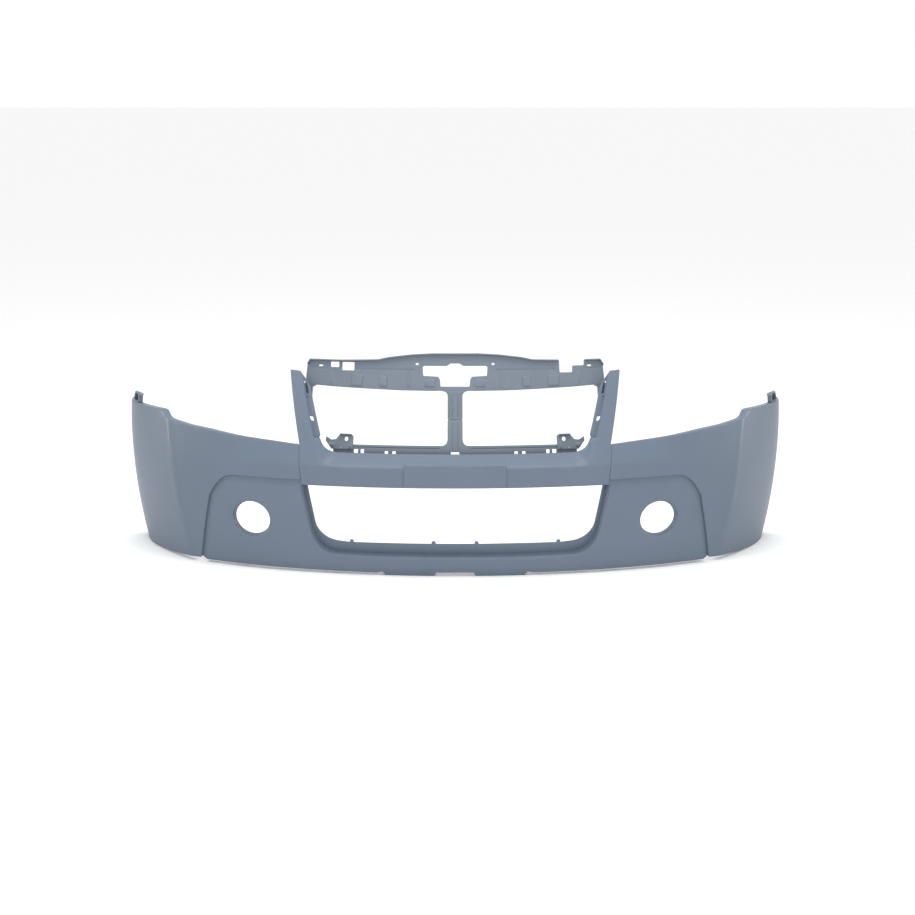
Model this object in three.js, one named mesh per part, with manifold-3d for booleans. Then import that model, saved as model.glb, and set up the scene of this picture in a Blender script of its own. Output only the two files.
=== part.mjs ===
// Front bumper cover of a compact off-road car: a thin moulded skin in several parts, held together from behind.
// Millimetres, +Z up, X across the car, -Y towards the front. The cover stands on its lower edge, and the origin is
// the middle of its footprint.
//
// Every skin is drawn flat and then bent onto the body. A flat drawing has three coordinates: s runs along the
// body's plan curve from the middle of the car, z is the height, and t is the distance in front of the body surface.
import * as THREE from "three";
import { mergeVertices } from "three/addons/utils/BufferGeometryUtils.js";
import Module from "manifold-3d";

const wasm = await Module();
wasm.setup();

// ---- Driving dimensions, mm and degrees -------------------------------------------------------------------------

const WALL = 3; // wall of every moulding
const GAP = 0.3; // air between small parts that lie on each other
const LAP_GAP = 0.8; // air between long curved mouldings that lie on each other

// Plan curve: its heading grows along s, turns faster at the front corner of the car and again near the wheel.
const TURN_LENGTH = 895;
const TURN_LINEAR = 30.7;
const TURN_CUBIC = 11.9;
const CORNER_TURN = 16;
const CORNER_WIDTH = 46;
const CORNER_S = 722; // corner line at the foot of the cover
const CORNER_SLANT = 0.13; // how far the corner line moves out for each mm of height
const TAIL_TURN = 10;
const TAIL_S = 930;
const TAIL_LENGTH = 150;

// Side profile: the body is fullest at the belly and tucks in above and below it.
const BELLY_Z = 280;
const TUCK_FOOT = 28;
const TUCK_TOP = 10;
const TUCK_TOP_HEIGHT = 150;
const LEAN = 0.36; // the pillars lean back from the bar's crease up
const LEAN_FULL_S = 450;
const LEAN_END_S = 640;

// Cross bar with the grille pillars
const BAR_FOOT_DROP = 13; // the bar's foot hangs this far below the pods' top edge
const BAR_FOOT_FLANGE = 22;
const BAR_CREASE_Z = 281;
const BAR_TOP_Z = 308;
const BAR_SLOPE_DEPTH = 45;
const BAR_END_S = 300; // where the bar's sloping top runs out into the pillars
const BAR_RUN_OUT = 45;
const SEAM_S = 385; // joint between bar and wing
const SEAM_SLANT = 0.112;
const SEAM_GAP = 0.6;
const SEAM_FLANGE = 18;
const PILLAR_OUTER_SLANT = 0.31;
const PILLAR_INNER_S = 335; // inner edge where it leaves the bar
const PILLAR_INNER_SLANT = 0.385;
const PILLAR_CREASE_S = 354;
const PILLAR_CREASE_SLANT = 0.358;
const PILLAR_TOP_Z = 502;
const PILLAR_TOP_DROP = 34; // the pillar's top edge falls this much towards the grille
const PILLAR_STEP = 12; // its inner border lies this much deeper

// Wings
const WING_TOP_Z = 330; // top edge at the seam
const WING_SHOULDER_Z = 369;
const WING_REAR_Z = 389; // top edge just behind the shoulder, from where it falls evenly to the tip
const WING_TIP_Z = 376;
const WING_DIP_S = 800; // the shoulder's hollow ends here
const WING_FOOT_Z = 12; // foot at the joint with the pod
const ARCH_S = 1072; // foremost point of the wheel arch edge
const ARCH_Z = 185;
const ARCH_RADIUS = 560;
const HEM = 20; // depth of the wing's turned-in edges
const RETAINER_LENGTH = 100; // hook on the wing's rear top
const RETAINER_DEPTH = 12;

// Lower valance with the fog lamp pods
const POD_STEP = 7; // the pods lie this far behind the wings
const POD_TOP_Z = 243;
const BAR_FOOT_Z = POD_TOP_Z - BAR_FOOT_DROP;
const POD_CORNER_S = 570;
const POD_SHOULDER_Z = 184;
const POD_SHOULDER_S = 643;
const POD_FOOT_S = 688;
const FOOT_Z = 5;
const FOOT_HEM = 20;
const LAP = 16; // hidden overlap of the valance behind the wings and the bar
const REST_TABS = { from: 53, to: 177, footZ: -1.38, middleZ: 8 }; // they end level with the wings' heels
const MOUTH_FOOT_Z = 47; // air intake between the pods, at its front edge
const MOUTH_TOP_S = 390;
const MOUTH_SIDE_SLANT = 0.18;
const TONGUE_S = MOUTH_TOP_S - 24; // inner end of the overlap behind the bar
const MOUTH_CORNER_Z = 120;
const MOUTH_CORNER_S = 304;
const SEAT_DEPTH = 24; // the insert's seat lies this far behind the lip
const SEAT_FOOT = 26; // and is this high at the foot
const SEAT_SIDE = 10;
const FOG = { s: 528, z: 131, halfWidth: 52, halfHeight: 46, tube: 10 };

// Grille frame: header panel above, rail below, and the strut between them
const HEADER_FOOT_Z = 456;
const HEADER_BACK = 120; // how far its foot lies behind the body
const HEADER_LEAN = 0.25;
const HEADER_TOP_Z = 545;
const HEADER_END_Z = 525;
const HEADER_END_S = 408;
const HEADER_LIP = 8;
const HEADER_LEG = { from: 391, to: 415, foot: 430 };
const RAIL_BACK = 75;
const RAIL_FOOT_Z = 305;
const RAIL_SHELF_Z = 276;
const RAIL_TOP_Z = 322;
const RAIL_END_S = 322;
const RAIL_TAB_Z = 242;
const STRUT_HALF = 20;
const STRUT_LAP_Z = 384;
const STRUT_LAP = 22;
const STRUT_FLANGE = 13;

// Number plate plinth
const PLINTH = { half: 126, foot: BAR_FOOT_Z + 2, top: 288, proud: 4 };

// Fasteners
const SCREW = { shank: 2, head: 4.6, headHeight: 2.4, hole: 2.7, thread: 2.3, boss: 5 };
const CLIP = { barrel: 4, bore: 2.6, flange: 7, flangeHeight: 2, pin: 2, pinHead: 5, pinHeadHeight: 1.6 };
const CLIP_LENGTH = 10;
const CLIP_HOLE = 4.6;

// ---- Body surface -----------------------------------------------------------------------------------------------

const rad = THREE.MathUtils.degToRad;
const smooth = (k) => THREE.MathUtils.smoothstep(k, 0, 1);

function heading(s, z) {
  const q = s / TURN_LENGTH;
  const corner = CORNER_TURN * smooth((s - CORNER_S - CORNER_SLANT * z) / CORNER_WIDTH + 0.5);
  const tail = TAIL_TURN * smooth((s - TAIL_S) / TAIL_LENGTH);
  return rad(TURN_LINEAR * q + TURN_CUBIC * q ** 3 + corner + tail);
}

// Point and outward direction of the plan curve at length s from the middle.
function planPoint(s, z) {
  const side = Math.sign(s) || 1;
  const length = Math.abs(s);
  const steps = Math.max(2, Math.ceil(length / 12));
  const step = length / steps;
  let x = 0;
  let y = 0;
  for (let i = 0; i < steps; i++) {
    const a = heading((i + 0.5) * step, z);
    x += Math.cos(a) * step;
    y += Math.sin(a) * step;
  }
  const a = heading(length, z);
  return { x: side * x, y, outX: side * Math.sin(a), outY: -Math.cos(a) };
}

function tuck(z) {
  if (z < BELLY_Z) return TUCK_FOOT * ((BELLY_Z - z) / BELLY_Z) ** 2;
  return TUCK_TOP * ((z - BELLY_Z) / TUCK_TOP_HEIGHT) ** 2;
}

function lean(s, z) {
  const fade = 1 - smooth((Math.abs(s) - LEAN_FULL_S) / (LEAN_END_S - LEAN_FULL_S));
  const leaning = LEAN * Math.max(0, z - BAR_CREASE_Z) * fade;
  const sloping = (BAR_SLOPE_DEPTH * Math.max(0, z - BAR_CREASE_Z)) / (BAR_TOP_Z - BAR_CREASE_Z);
  return THREE.MathUtils.lerp(sloping, leaning, smooth((Math.abs(s) - BAR_END_S) / BAR_RUN_OUT));
}

function frameBack(z) {
  const lap = HEADER_BACK - HEADER_LEAN * (HEADER_FOOT_Z - STRUT_LAP_Z);
  if (z >= STRUT_LAP_Z) return lap + HEADER_LEAN * (z - STRUT_LAP_Z);
  if (z <= RAIL_FOOT_Z) return RAIL_BACK;
  return RAIL_BACK + ((lap - RAIL_BACK) * (z - RAIL_FOOT_Z)) / (STRUT_LAP_Z - RAIL_FOOT_Z);
}

// A surface is a function of s and z that gives a point; back says how far it lies behind the plan curve.
function surface(back) {
  return (s, z) => {
    const p = planPoint(s, z);
    return new THREE.Vector3(p.x - p.outX * back(s, z), p.y - p.outY * back(s, z), z);
  };
}

const bodySkin = surface((s, z) => tuck(z) + lean(s, z));
const frameSkin = surface((s, z) => frameBack(z));
const plinthSkin = surface(() => 0);

function normalOf(skin, s, z) {
  const h = 0.5;
  const along = skin(s + h, z).sub(skin(s - h, z));
  const up = skin(s, z + h).sub(skin(s, z - h));
  return along.cross(up).normalize();
}

const pointOn = (skin, s, z, t) => skin(s, z).addScaledVector(normalOf(skin, s, z), t);

// ---- Flat drawing -----------------------------------------------------------------------------------------------

function solidOf(geometry) {
  const bare = geometry.clone();
  bare.deleteAttribute("normal");
  bare.deleteAttribute("uv");
  const merged = mergeVertices(bare, 1e-4);
  const vertProperties = merged.attributes.position.array;
  return new wasm.Manifold(new wasm.Mesh({ numProp: 3, vertProperties, triVerts: new Uint32Array(merged.index.array) }));
}

const vectors = (points) => points.map(([s, z]) => new THREE.Vector2(s, z));

// A plate with an outline in s and z, between two depths.
function plate(points, t0, t1) {
  const shape = points instanceof THREE.Shape ? points : new THREE.Shape(vectors(points));
  const made = new THREE.ExtrudeGeometry(shape, { depth: t1 - t0, bevelEnabled: false, curveSegments: 10 });
  return solidOf(made.translate(0, 0, t0));
}

function block(s0, s1, z0, z1, t0, t1) {
  const made = new THREE.BoxGeometry(s1 - s0, z1 - z0, t1 - t0);
  return solidOf(made.translate((s0 + s1) / 2, (z0 + z1) / 2, (t0 + t1) / 2));
}

// A round bar through the drawing. Its axis runs along t, or along s or z when named.
function disc(s, z, radius, t0, t1, axis = "t") {
  const made = new THREE.CylinderGeometry(radius, radius, t1 - t0, 8);
  const middle = (t0 + t1) / 2;
  if (axis === "s") return solidOf(made.rotateZ(Math.PI / 2).translate(middle, z, s));
  if (axis === "z") return solidOf(made.translate(s, middle, z));
  return solidOf(made.rotateX(Math.PI / 2).translate(s, z, middle));
}

function ellipse(s, z, halfWidth, halfHeight) {
  return new THREE.Shape().absellipse(s, z, halfWidth, halfHeight, 0, 2 * Math.PI);
}

const joined = (solids) => solids.reduce((a, b) => a.add(b));
const cutBy = (solid, tools) => tools.reduce((a, b) => a.subtract(b), solid);
const mirrored = (points) => [...points, ...points.map(([s, z]) => [-s, z]).reverse()];

// The outline moved inwards by a width.
function takenIn(points, width) {
  const turn = Math.sign(THREE.ShapeUtils.area(vectors(points)));
  return points.map((p, i) => {
    const here = new THREE.Vector2(...p);
    const before = new THREE.Vector2(...points.at(i - 1));
    const after = new THREE.Vector2(...points[(i + 1) % points.length]);
    const u = here.clone().sub(before).normalize();
    const v = after.sub(here).normalize();
    const k = (turn * width) / (1 + u.dot(v));
    return [p[0] - (u.y + v.y) * k, p[1] + (u.x + v.x) * k];
  });
}

const rim = (points, width, t0, t1) => plate(points, t0, t1).subtract(plate(takenIn(points, width), t0 - 1, t1 + 1));

// Points of a rounded corner from a to b, drawn towards the corner point c.
function corner(a, c, b, count = 4) {
  const curve = new THREE.QuadraticBezierCurve(...vectors([a, c, b]));
  return curve.getPoints(count).map((p) => [p.x, p.y]);
}

// ---- Bending ----------------------------------------------------------------------------------------------------

// Depth cells keep the bent faces close to the true surface. Their edges sit at odd places, where no outline has one.
const CELL_SHIFT = 0.37;
const FRONT_CUTS = [38, 114, 190, 266, 342, 418, 494, 570, 646];
const BAR_CUTS = [300, 314, 328];
const CORNER_CUTS = [698, 711, 723, 735, 747, 759, 771, 783, 796];
const REAR_CUTS = [];
for (let s = 850; s < ARCH_S; s += 54) REAR_CUTS.push(s);
const shifted = (cuts) => cuts.map((c) => c + CELL_SHIFT);

function slices(solid, axis, cuts) {
  const ends = [-1500, ...cuts, 1500];
  return ends.slice(1).map((end, i) => {
    const size = [3000, 3000, 3000];
    const middle = [0, 0, 0];
    size[axis] = end - ends[i];
    middle[axis] = (end + ends[i]) / 2;
    return solid.intersect(solidOf(new THREE.BoxGeometry(...size).translate(...middle)));
  });
}

// Collects points, giving points closer than a few micrometres the same number.
function pointBook() {
  const points = [];
  const cells = new Map();
  const key = (p, d) => p.map((v, i) => Math.round(v * 50) + d[i]).join();
  const around = [-1, 0, 1].flatMap((a) => [-1, 0, 1].flatMap((b) => [-1, 0, 1].map((c) => [a, b, c])));
  const near = (p, q) => Math.hypot(p[0] - q[0], p[1] - q[1], p[2] - q[2]) < 0.006;
  const numberOf = (p) => {
    const found = around.flatMap((d) => cells.get(key(p, d)) ?? []).find((i) => near(points[i], p));
    if (found !== undefined) return found;
    const home = key(p, [0, 0, 0]);
    cells.set(home, [...(cells.get(home) ?? []), points.length]);
    return points.push(p) - 1;
  };
  return { points, numberOf };
}

// Gives a face's edge every point that lies on it, so that neighbouring cells share all their corners.
function withEdgePoints(face, points, candidates) {
  for (let i = 0; i < 3; i++) {
    const [a, b, c] = [face[i], face[(i + 1) % 3], face[(i + 2) % 3]];
    if (!candidates.has(a) || !candidates.has(b)) continue;
    const start = new THREE.Vector3(...points[a]);
    const way = new THREE.Vector3(...points[b]).sub(start);
    const inside = [];
    for (const v of candidates) {
      if (v === a || v === b) continue;
      const offset = new THREE.Vector3(...points[v]).sub(start);
      const k = offset.dot(way) / way.lengthSq();
      if (k <= 0 || k >= 1 || offset.addScaledVector(way, -k).length() > 0.006) continue;
      inside.push([k, v]);
    }
    const chain = [a, ...inside.sort((p, q) => p[0] - q[0]).map((p) => p[1]), b];
    return chain.slice(1).map((v, j) => [chain[j], v, c]);
  }
  return [face];
}

// Bends a flat solid onto a surface. side is 1 for the right half seen from the front and -1 for the left half.
function bend(solid, skin, sCuts, zCuts = [], side = 1) {
  const sEnds = shifted(sCuts);
  const zEnds = shifted(zCuts);
  const cells = slices(solid, 0, sEnds).flatMap((strip) => slices(strip, 1, zEnds));
  const book = pointBook();
  let faces = [];
  for (const cell of cells) {
    const flat = cell.getMesh();
    const numbers = [];
    for (let i = 0; i < flat.vertProperties.length; i += flat.numProp) {
      numbers.push(book.numberOf([...flat.vertProperties.subarray(i, i + 3)]));
    }
    for (let i = 0; i < flat.triVerts.length; i += 3) {
      faces.push([...flat.triVerts.subarray(i, i + 3)].map((v) => numbers[v]));
    }
  }
  faces = faces.filter((f) => new Set(f).size === 3);
  for (const [axis, cut] of [...sEnds.map((c) => [0, c]), ...zEnds.map((c) => [1, c])]) {
    const onCut = new Set(book.points.keys().filter((i) => Math.abs(book.points[i][axis] - cut) < 0.004));
    faces = faces.filter((f) => !f.every((v) => onCut.has(v)));
    faces = faces.flatMap((f) => withEdgePoints(f, book.points, onCut));
  }
  const bent = book.points.map(([s, z, t]) => pointOn(skin, side * s, z, t));
  const geometry = new THREE.BufferGeometry().setFromPoints(bent);
  geometry.setIndex(faces.flatMap((f) => (side > 0 ? f : [f[0], f[2], f[1]])));
  return geometry;
}

function geometryOf(solid) {
  const mesh = solid.getMesh();
  const geometry = new THREE.BufferGeometry();
  geometry.setAttribute("position", new THREE.BufferAttribute(mesh.vertProperties, 3));
  geometry.setIndex([...mesh.triVerts]);
  return geometry;
}

const bothSides = (cuts) => [...cuts.map((c) => -c - 2 * CELL_SHIFT).reverse(), ...cuts];

// ---- Scene ------------------------------------------------------------------------------------------------------

const cover = new THREE.Group();
const SIDES = [
  ["left", -1],
  ["right", 1],
];

function addNode(name, geometry, look) {
  const mesh = new THREE.Mesh(geometry, look);
  mesh.name = name;
  cover.add(mesh);
  return mesh;
}

// Stands a turned piece on a surface at (s, z, t), its axis along t, s or z of the drawing.
function standOn(mesh, skin, [s, z, t], axis = "t", way = 1) {
  const h = 0.5;
  const steps = { t: [0, 0, h], s: [h, 0, 0], z: [0, h, 0] }[axis];
  const ahead = pointOn(skin, s + steps[0], z + steps[1], t + steps[2]);
  const behind = pointOn(skin, s - steps[0], z - steps[1], t - steps[2]);
  mesh.position.copy(pointOn(skin, s, z, t));
  mesh.quaternion.setFromUnitVectors(new THREE.Vector3(0, way, 0), ahead.sub(behind).normalize());
}

const moulded = (color, roughness) => new THREE.MeshStandardMaterial({ color, roughness, metalness: 0 });
const PRIMED = moulded(0x77828f, 0.45);
const FRAME_PLASTIC = moulded(0x8a929a, 0.6);
const BLACK_NYLON = moulded(0x202224, 0.55);
const ZINC = new THREE.MeshStandardMaterial({ color: 0x9a9c9d, roughness: 0.35, metalness: 1 });

// Pan-head screw: the head's underside is at the origin and the shank runs up from it.
function screwGeometry(length) {
  const { shank, head, headHeight } = SCREW;
  const profile = [
    [0, -headHeight],
    [head * 0.8, -headHeight],
    [head, -headHeight * 0.45],
    [head, 0],
    [shank, 0],
    [shank, length],
    [0, length],
  ];
  return new THREE.LatheGeometry(vectors(profile), 8);
}

function addScrew(name, skin, place, length, axis, way) {
  standOn(addNode(name, screwGeometry(length), ZINC), skin, place, axis, way);
}

// ---- Shared outlines --------------------------------------------------------------------------------------------

const seamS = (z) => SEAM_S + SEAM_SLANT * (z - POD_TOP_Z);
const pillarOuterS = (z) => seamS(WING_TOP_Z) + PILLAR_OUTER_SLANT * (z - WING_TOP_Z);
const pillarInnerS = (z) => PILLAR_INNER_S + PILLAR_INNER_SLANT * (z - WING_TOP_Z);
const pillarCreaseS = (z) => PILLAR_CREASE_S + PILLAR_CREASE_SLANT * (z - WING_TOP_Z);
const archS = (z) => ARCH_S + ARCH_RADIUS - Math.sqrt(ARCH_RADIUS ** 2 - (z - ARCH_Z) ** 2);
const tipS = archS(WING_TIP_Z);
const wingTopZ = (s) => THREE.MathUtils.mapLinear(s, WING_DIP_S + 13, tipS, WING_REAR_Z, WING_TIP_Z);
const podSlant = (POD_SHOULDER_S - POD_FOOT_S) / (POD_SHOULDER_Z - WING_FOOT_Z);
const podSideS = (z) => POD_FOOT_S + podSlant * (z - WING_FOOT_Z);

// Edge between a wing and the pod below it, from the seam to the foot. out moves it under the wing.
function podEdge(from, out = 0) {
  const top = POD_TOP_Z + out;
  return [
    [from, top],
    ...corner([POD_CORNER_S, top], [podSideS(top) - 18 + out, top], [POD_SHOULDER_S + out, POD_SHOULDER_Z], 5),
    [podSideS(WING_FOOT_Z) + out, WING_FOOT_Z],
  ];
}

// Holes and bosses shared by two mouldings, as places in the drawing
const seamScrews = [285, 312];
const lapScrews = [
  [TONGUE_S + 10, POD_TOP_Z + 4],
  [SEAM_S + 45, POD_TOP_Z + 10],
  [POD_CORNER_S - 30, POD_TOP_Z + 10],
  [podSideS(95) + 8, 95],
];
const railScrews = [-262, -150, 150, 262].map((s) => [s, 258]);
const plinthScrews = [-80, 80].map((s) => [s, 259]);
const clipPlaces = [440, 457].map((z) => [403, z]);
const RETAINER_S = ARCH_S - 145; // front tip of the side retainer's hook
const RETAINER_T = -5;
const retainerScrews = [RETAINER_S + 46, RETAINER_S + 84].map((s) => [s, RETAINER_T - RETAINER_DEPTH / 2]);
const FOG_EAR_T = -POD_STEP - WALL - 6; // the ring's ears lie on bosses of this height
const fogScrews = [35, 150, 265].map((angle) => {
  const out = 15;
  const a = rad(angle);
  return [FOG.s + (FOG.halfWidth + out) * Math.cos(a), FOG.z + (FOG.halfHeight + out) * Math.sin(a)];
});
const BRACKET = { screw: [300, 314], hole: [287, 334] };

// ---- Wings ------------------------------------------------------------------------------------------------------

const WING_ROWS = [70, 150, 225, BAR_CREASE_Z - CELL_SHIFT, 335];
const WING_CUTS = [...FRONT_CUTS.slice(5), ...CORNER_CUTS, ...REAR_CUTS];
const LAP_BOSS_DEPTH = POD_STEP - LAP_GAP;

function wingOutline() {
  return [
    [seamS(POD_TOP_Z) + SEAM_GAP, POD_TOP_Z],
    [seamS(WING_TOP_Z) + SEAM_GAP, WING_TOP_Z],
    [495, WING_TOP_Z + 8],
    [567, WING_TOP_Z + 15],
    [641, WING_TOP_Z + 24],
    [705, WING_SHOULDER_Z - 9],
    ...corner(
      [WING_DIP_S - 44, WING_SHOULDER_Z - 1],
      [WING_DIP_S - 20, WING_SHOULDER_Z + 4],
      [WING_DIP_S - 12, WING_SHOULDER_Z + 10],
      2,
    ),
    ...corner(
      [WING_DIP_S - 8, WING_SHOULDER_Z + 14],
      [WING_DIP_S - 4, WING_REAR_Z],
      [WING_DIP_S + 13, WING_REAR_Z],
      2,
    ),
    ...[WING_TIP_Z, 300, 220, 140, 70].map((z) => [archS(z), z]),
    ...corner([archS(30), 30], [archS(0) - 4, 0], [archS(0) - 40, 0], 3),
    [ARCH_S - 132, 0],
    ...podEdge(seamS(POD_TOP_Z) + SEAM_GAP).slice(1).reverse(),
  ];
}

function wing(side) {
  const edge = wingOutline();
  const podZone = plate([[300, -40], ...podEdge(300, LAP + 4), [podSideS(0) + LAP + 4, -40]], -90, 90);
  const deepHem = rim(edge, WALL, -HEM, 0).subtract(podZone);
  const stepHem = rim(edge, WALL, -LAP_BOSS_DEPTH, 0).intersect(podZone);
  const bosses = lapScrews.slice(1).map(([s, z]) => disc(s, z, SCREW.boss, -LAP_BOSS_DEPTH, -1));
  const body = joined([plate(edge, -WALL, 0), deepHem, stepHem, ...bosses]);
  const holes = [
    ...lapScrews.slice(1).map(([s, z]) => disc(s, z, SCREW.thread, -9, -1.5)),
    ...seamScrews.map((z) => disc(-11, z, SCREW.thread, seamS(z) - 4, seamS(z) + 6, "s")),
    ...retainerScrews.map(([s, t]) => disc(s, t, SCREW.hole, wingTopZ(s) - 6, wingTopZ(s) + 3, "z")),
  ];
  return bend(cutBy(body, holes), bodySkin, WING_CUTS, WING_ROWS, side);
}

for (const [name, side] of SIDES) addNode("wing_" + name, wing(side), PRIMED);

// ---- Centre fascia: cross bar and both grille pillars -----------------------------------------------------------

const EAR_T = LAP_GAP; // the pillar's ear stands this far in front of the header's leg

function fasciaOutline() {
  const foot = seamS(BAR_FOOT_Z);
  const topIn = PILLAR_TOP_Z - PILLAR_TOP_DROP;
  return mirrored([
    [foot, BAR_FOOT_Z],
    [seamS(WING_TOP_Z), WING_TOP_Z],
    [pillarOuterS(420), 420],
    [pillarOuterS(PILLAR_TOP_Z), PILLAR_TOP_Z],
    [pillarInnerS(topIn), topIn],
    [pillarInnerS(350), 350],
    ...corner([pillarInnerS(344), 344], [pillarInnerS(BAR_TOP_Z) + 3, BAR_TOP_Z], [298, BAR_TOP_Z], 3),
  ]);
}

// The sunk border of a pillar, between its crease and its inner edge, and the step beside it.
function pillarBorder(side, t0, t1, width) {
  const foot = 345;
  const points = [
    [pillarCreaseS(foot) + width, foot],
    [pillarCreaseS(520) + width, 520],
    [pillarCreaseS(520) - 60, 520],
    [pillarCreaseS(foot) - 60, foot],
  ];
  return plate(points.map(([s, z]) => [side * s, z]), t0, t1);
}

// Ear behind a pillar that carries the header's leg: a plate with two webs that reach forward to the pillar.
function pillarEar(side) {
  const { from, to, foot } = HEADER_LEG;
  const zones = [
    block(side > 0 ? from : -to, side > 0 ? to : -from, foot, 466, EAR_T, EAR_T + WALL),
    block(side > 0 ? to - WALL : -to, side > 0 ? to : WALL - to, foot, 466, EAR_T, 60),
    block(side > 0 ? from : -to, side > 0 ? to : -from, foot, foot + WALL, EAR_T, 60),
  ];
  const ear = cutBy(joined(zones), clipPlaces.map(([s, z]) => disc(side * s, z, CLIP_HOLE, -5, 9)));
  return solidOf(bend(ear, frameSkin, []));
}

const FASCIA_CUTS = bothSides([...FRONT_CUTS.slice(0, 4), ...BAR_CUTS, 342, 418]);
const FASCIA_ROWS = [BAR_CREASE_Z - CELL_SHIFT, 335, 380, 430, 475];
const RAIL_BOSS = 6; // the rail stands off from the bar on these bosses

function fascia() {
  const edge = fasciaOutline();
  const sunk = SIDES.map(([, side]) => pillarBorder(side, -60, 60, 0));
  const stepZone = SIDES.map(([, side]) => pillarBorder(side, -PILLAR_STEP - WALL, 0, WALL));
  const whole = plate(edge, -90, 90);
  const front = cutBy(plate(edge, -WALL, 0), sunk);
  const step = joined(stepZone).subtract(joined(sunk)).intersect(whole);
  const border = plate(edge, -PILLAR_STEP - WALL, -PILLAR_STEP).intersect(joined(sunk));
  const footOfStep = SIDES.map(([, side]) => {
    const s = pillarCreaseS(345);
    return block(side > 0 ? s - 40 : -s, side > 0 ? s : 40 - s, 345 - WALL, 345, -PILLAR_STEP - WALL, 0);
  });
  const flange = rim(edge, WALL, -SEAM_FLANGE, 0);
  const outer = joined(
    SIDES.map(([, side]) => {
      const lap = POD_TOP_Z + LAP + 4;
      const points = [
        [seamS(lap) - 8, lap],
        [seamS(WING_TOP_Z) - 8, WING_TOP_Z],
        [pillarOuterS(PILLAR_TOP_Z) - 12, PILLAR_TOP_Z - 8],
        [pillarOuterS(PILLAR_TOP_Z) + 40, PILLAR_TOP_Z + 30],
        [seamS(lap) + 40, lap],
      ];
      return plate(points.map(([s, z]) => [side * s, z]), -90, 90);
    }),
  );
  const footFlange = rim(edge, WALL, -BAR_FOOT_FLANGE, 0).intersect(
    block(4 - TONGUE_S, TONGUE_S - 4, BAR_FOOT_Z - 5, BAR_FOOT_Z + 6, -90, 90),
  );
  const bosses = [
    ...railScrews.map(([s, z]) => disc(s, z, SCREW.boss, -WALL - RAIL_BOSS, -1)),
    ...SIDES.map(([, side]) => disc(side * lapScrews[0][0], lapScrews[0][1], SCREW.boss, -LAP_BOSS_DEPTH, -1)),
  ];
  const parts = [front, step, border, ...footOfStep.map((b) => b.intersect(whole)), flange.intersect(outer)];
  const holes = [
    ...railScrews.map(([s, z]) => disc(s, z, SCREW.thread, -12, -1.5)),
    ...plinthScrews.map(([s, z]) => disc(s, z, SCREW.hole, -5, 2)),
    ...SIDES.map(([, side]) => disc(side * lapScrews[0][0], lapScrews[0][1], SCREW.thread, -12, -1.5)),
    ...SIDES.flatMap(([, side]) =>
      seamScrews.map((z) => disc(-11, z, SCREW.hole, side * seamS(z) - 6, side * seamS(z) + 6, "s")),
    ),
  ];
  const flat = cutBy(joined([...parts, footFlange, ...bosses]), holes);
  const bent = solidOf(bend(flat, bodySkin, FASCIA_CUTS, FASCIA_ROWS));
  const infront = solidOf(
    bend(block(-470, 470, 400, 500, -1.5, 120), bodySkin, bothSides([342, 418]), [430, 475]),
  );
  return geometryOf(joined([bent, ...SIDES.map(([, side]) => pillarEar(side).subtract(infront))]));
}

addNode("centre_fascia", fascia(), PRIMED);

// ---- Lower valance: fog lamp pods, lip and the seat of the air intake -------------------------------------------

const VALANCE_CUTS = bothSides([...FRONT_CUTS]);
const VALANCE_ROWS = [70, 150, 225];
const SEAT_T = -POD_STEP - SEAT_DEPTH;
const HEM_NUTS = [-560, -330, 330, 560];

function valanceOutline() {
  const { from, to, footZ, middleZ } = REST_TABS;
  const top = POD_TOP_Z + LAP;
  return mirrored([
    [from - 6, middleZ],
    [from, footZ],
    [to, footZ],
    [to + 8, middleZ],
    [to + 22, FOOT_Z],
    [podSideS(WING_FOOT_Z) - 12, FOOT_Z],
    [podSideS(WING_FOOT_Z) + 1, WING_FOOT_Z + 2],
    [podSideS(WING_FOOT_Z) + LAP, WING_FOOT_Z + 8],
    ...podEdge(TONGUE_S, LAP).slice(0, -1).reverse(),
    [TONGUE_S, top - 8],
    [TONGUE_S, BAR_FOOT_Z - 2],
  ]);
}

// The air intake's mouth, open at its top. inwards and up move its sides and its foot into the mouth.
function mouth(inwards = 0, up = 0) {
  const sideS = (z) => MOUTH_TOP_S - inwards - MOUTH_SIDE_SLANT * (BAR_FOOT_Z - z);
  const foot = MOUTH_FOOT_Z + up;
  const cornerZ = MOUTH_CORNER_Z + up * 0.3;
  return mirrored([
    [TONGUE_S - inwards, 300],
    [TONGUE_S - inwards, BAR_FOOT_Z + 3],
    [sideS(BAR_FOOT_Z - 2), BAR_FOOT_Z - 2],
    [sideS(cornerZ), cornerZ],
    ...corner([sideS(cornerZ) - 3, cornerZ - 12], [350 - inwards, foot + 6], [MOUTH_CORNER_S - inwards, foot + 4], 4),
    [200, foot + 2],
  ]);
}

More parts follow.
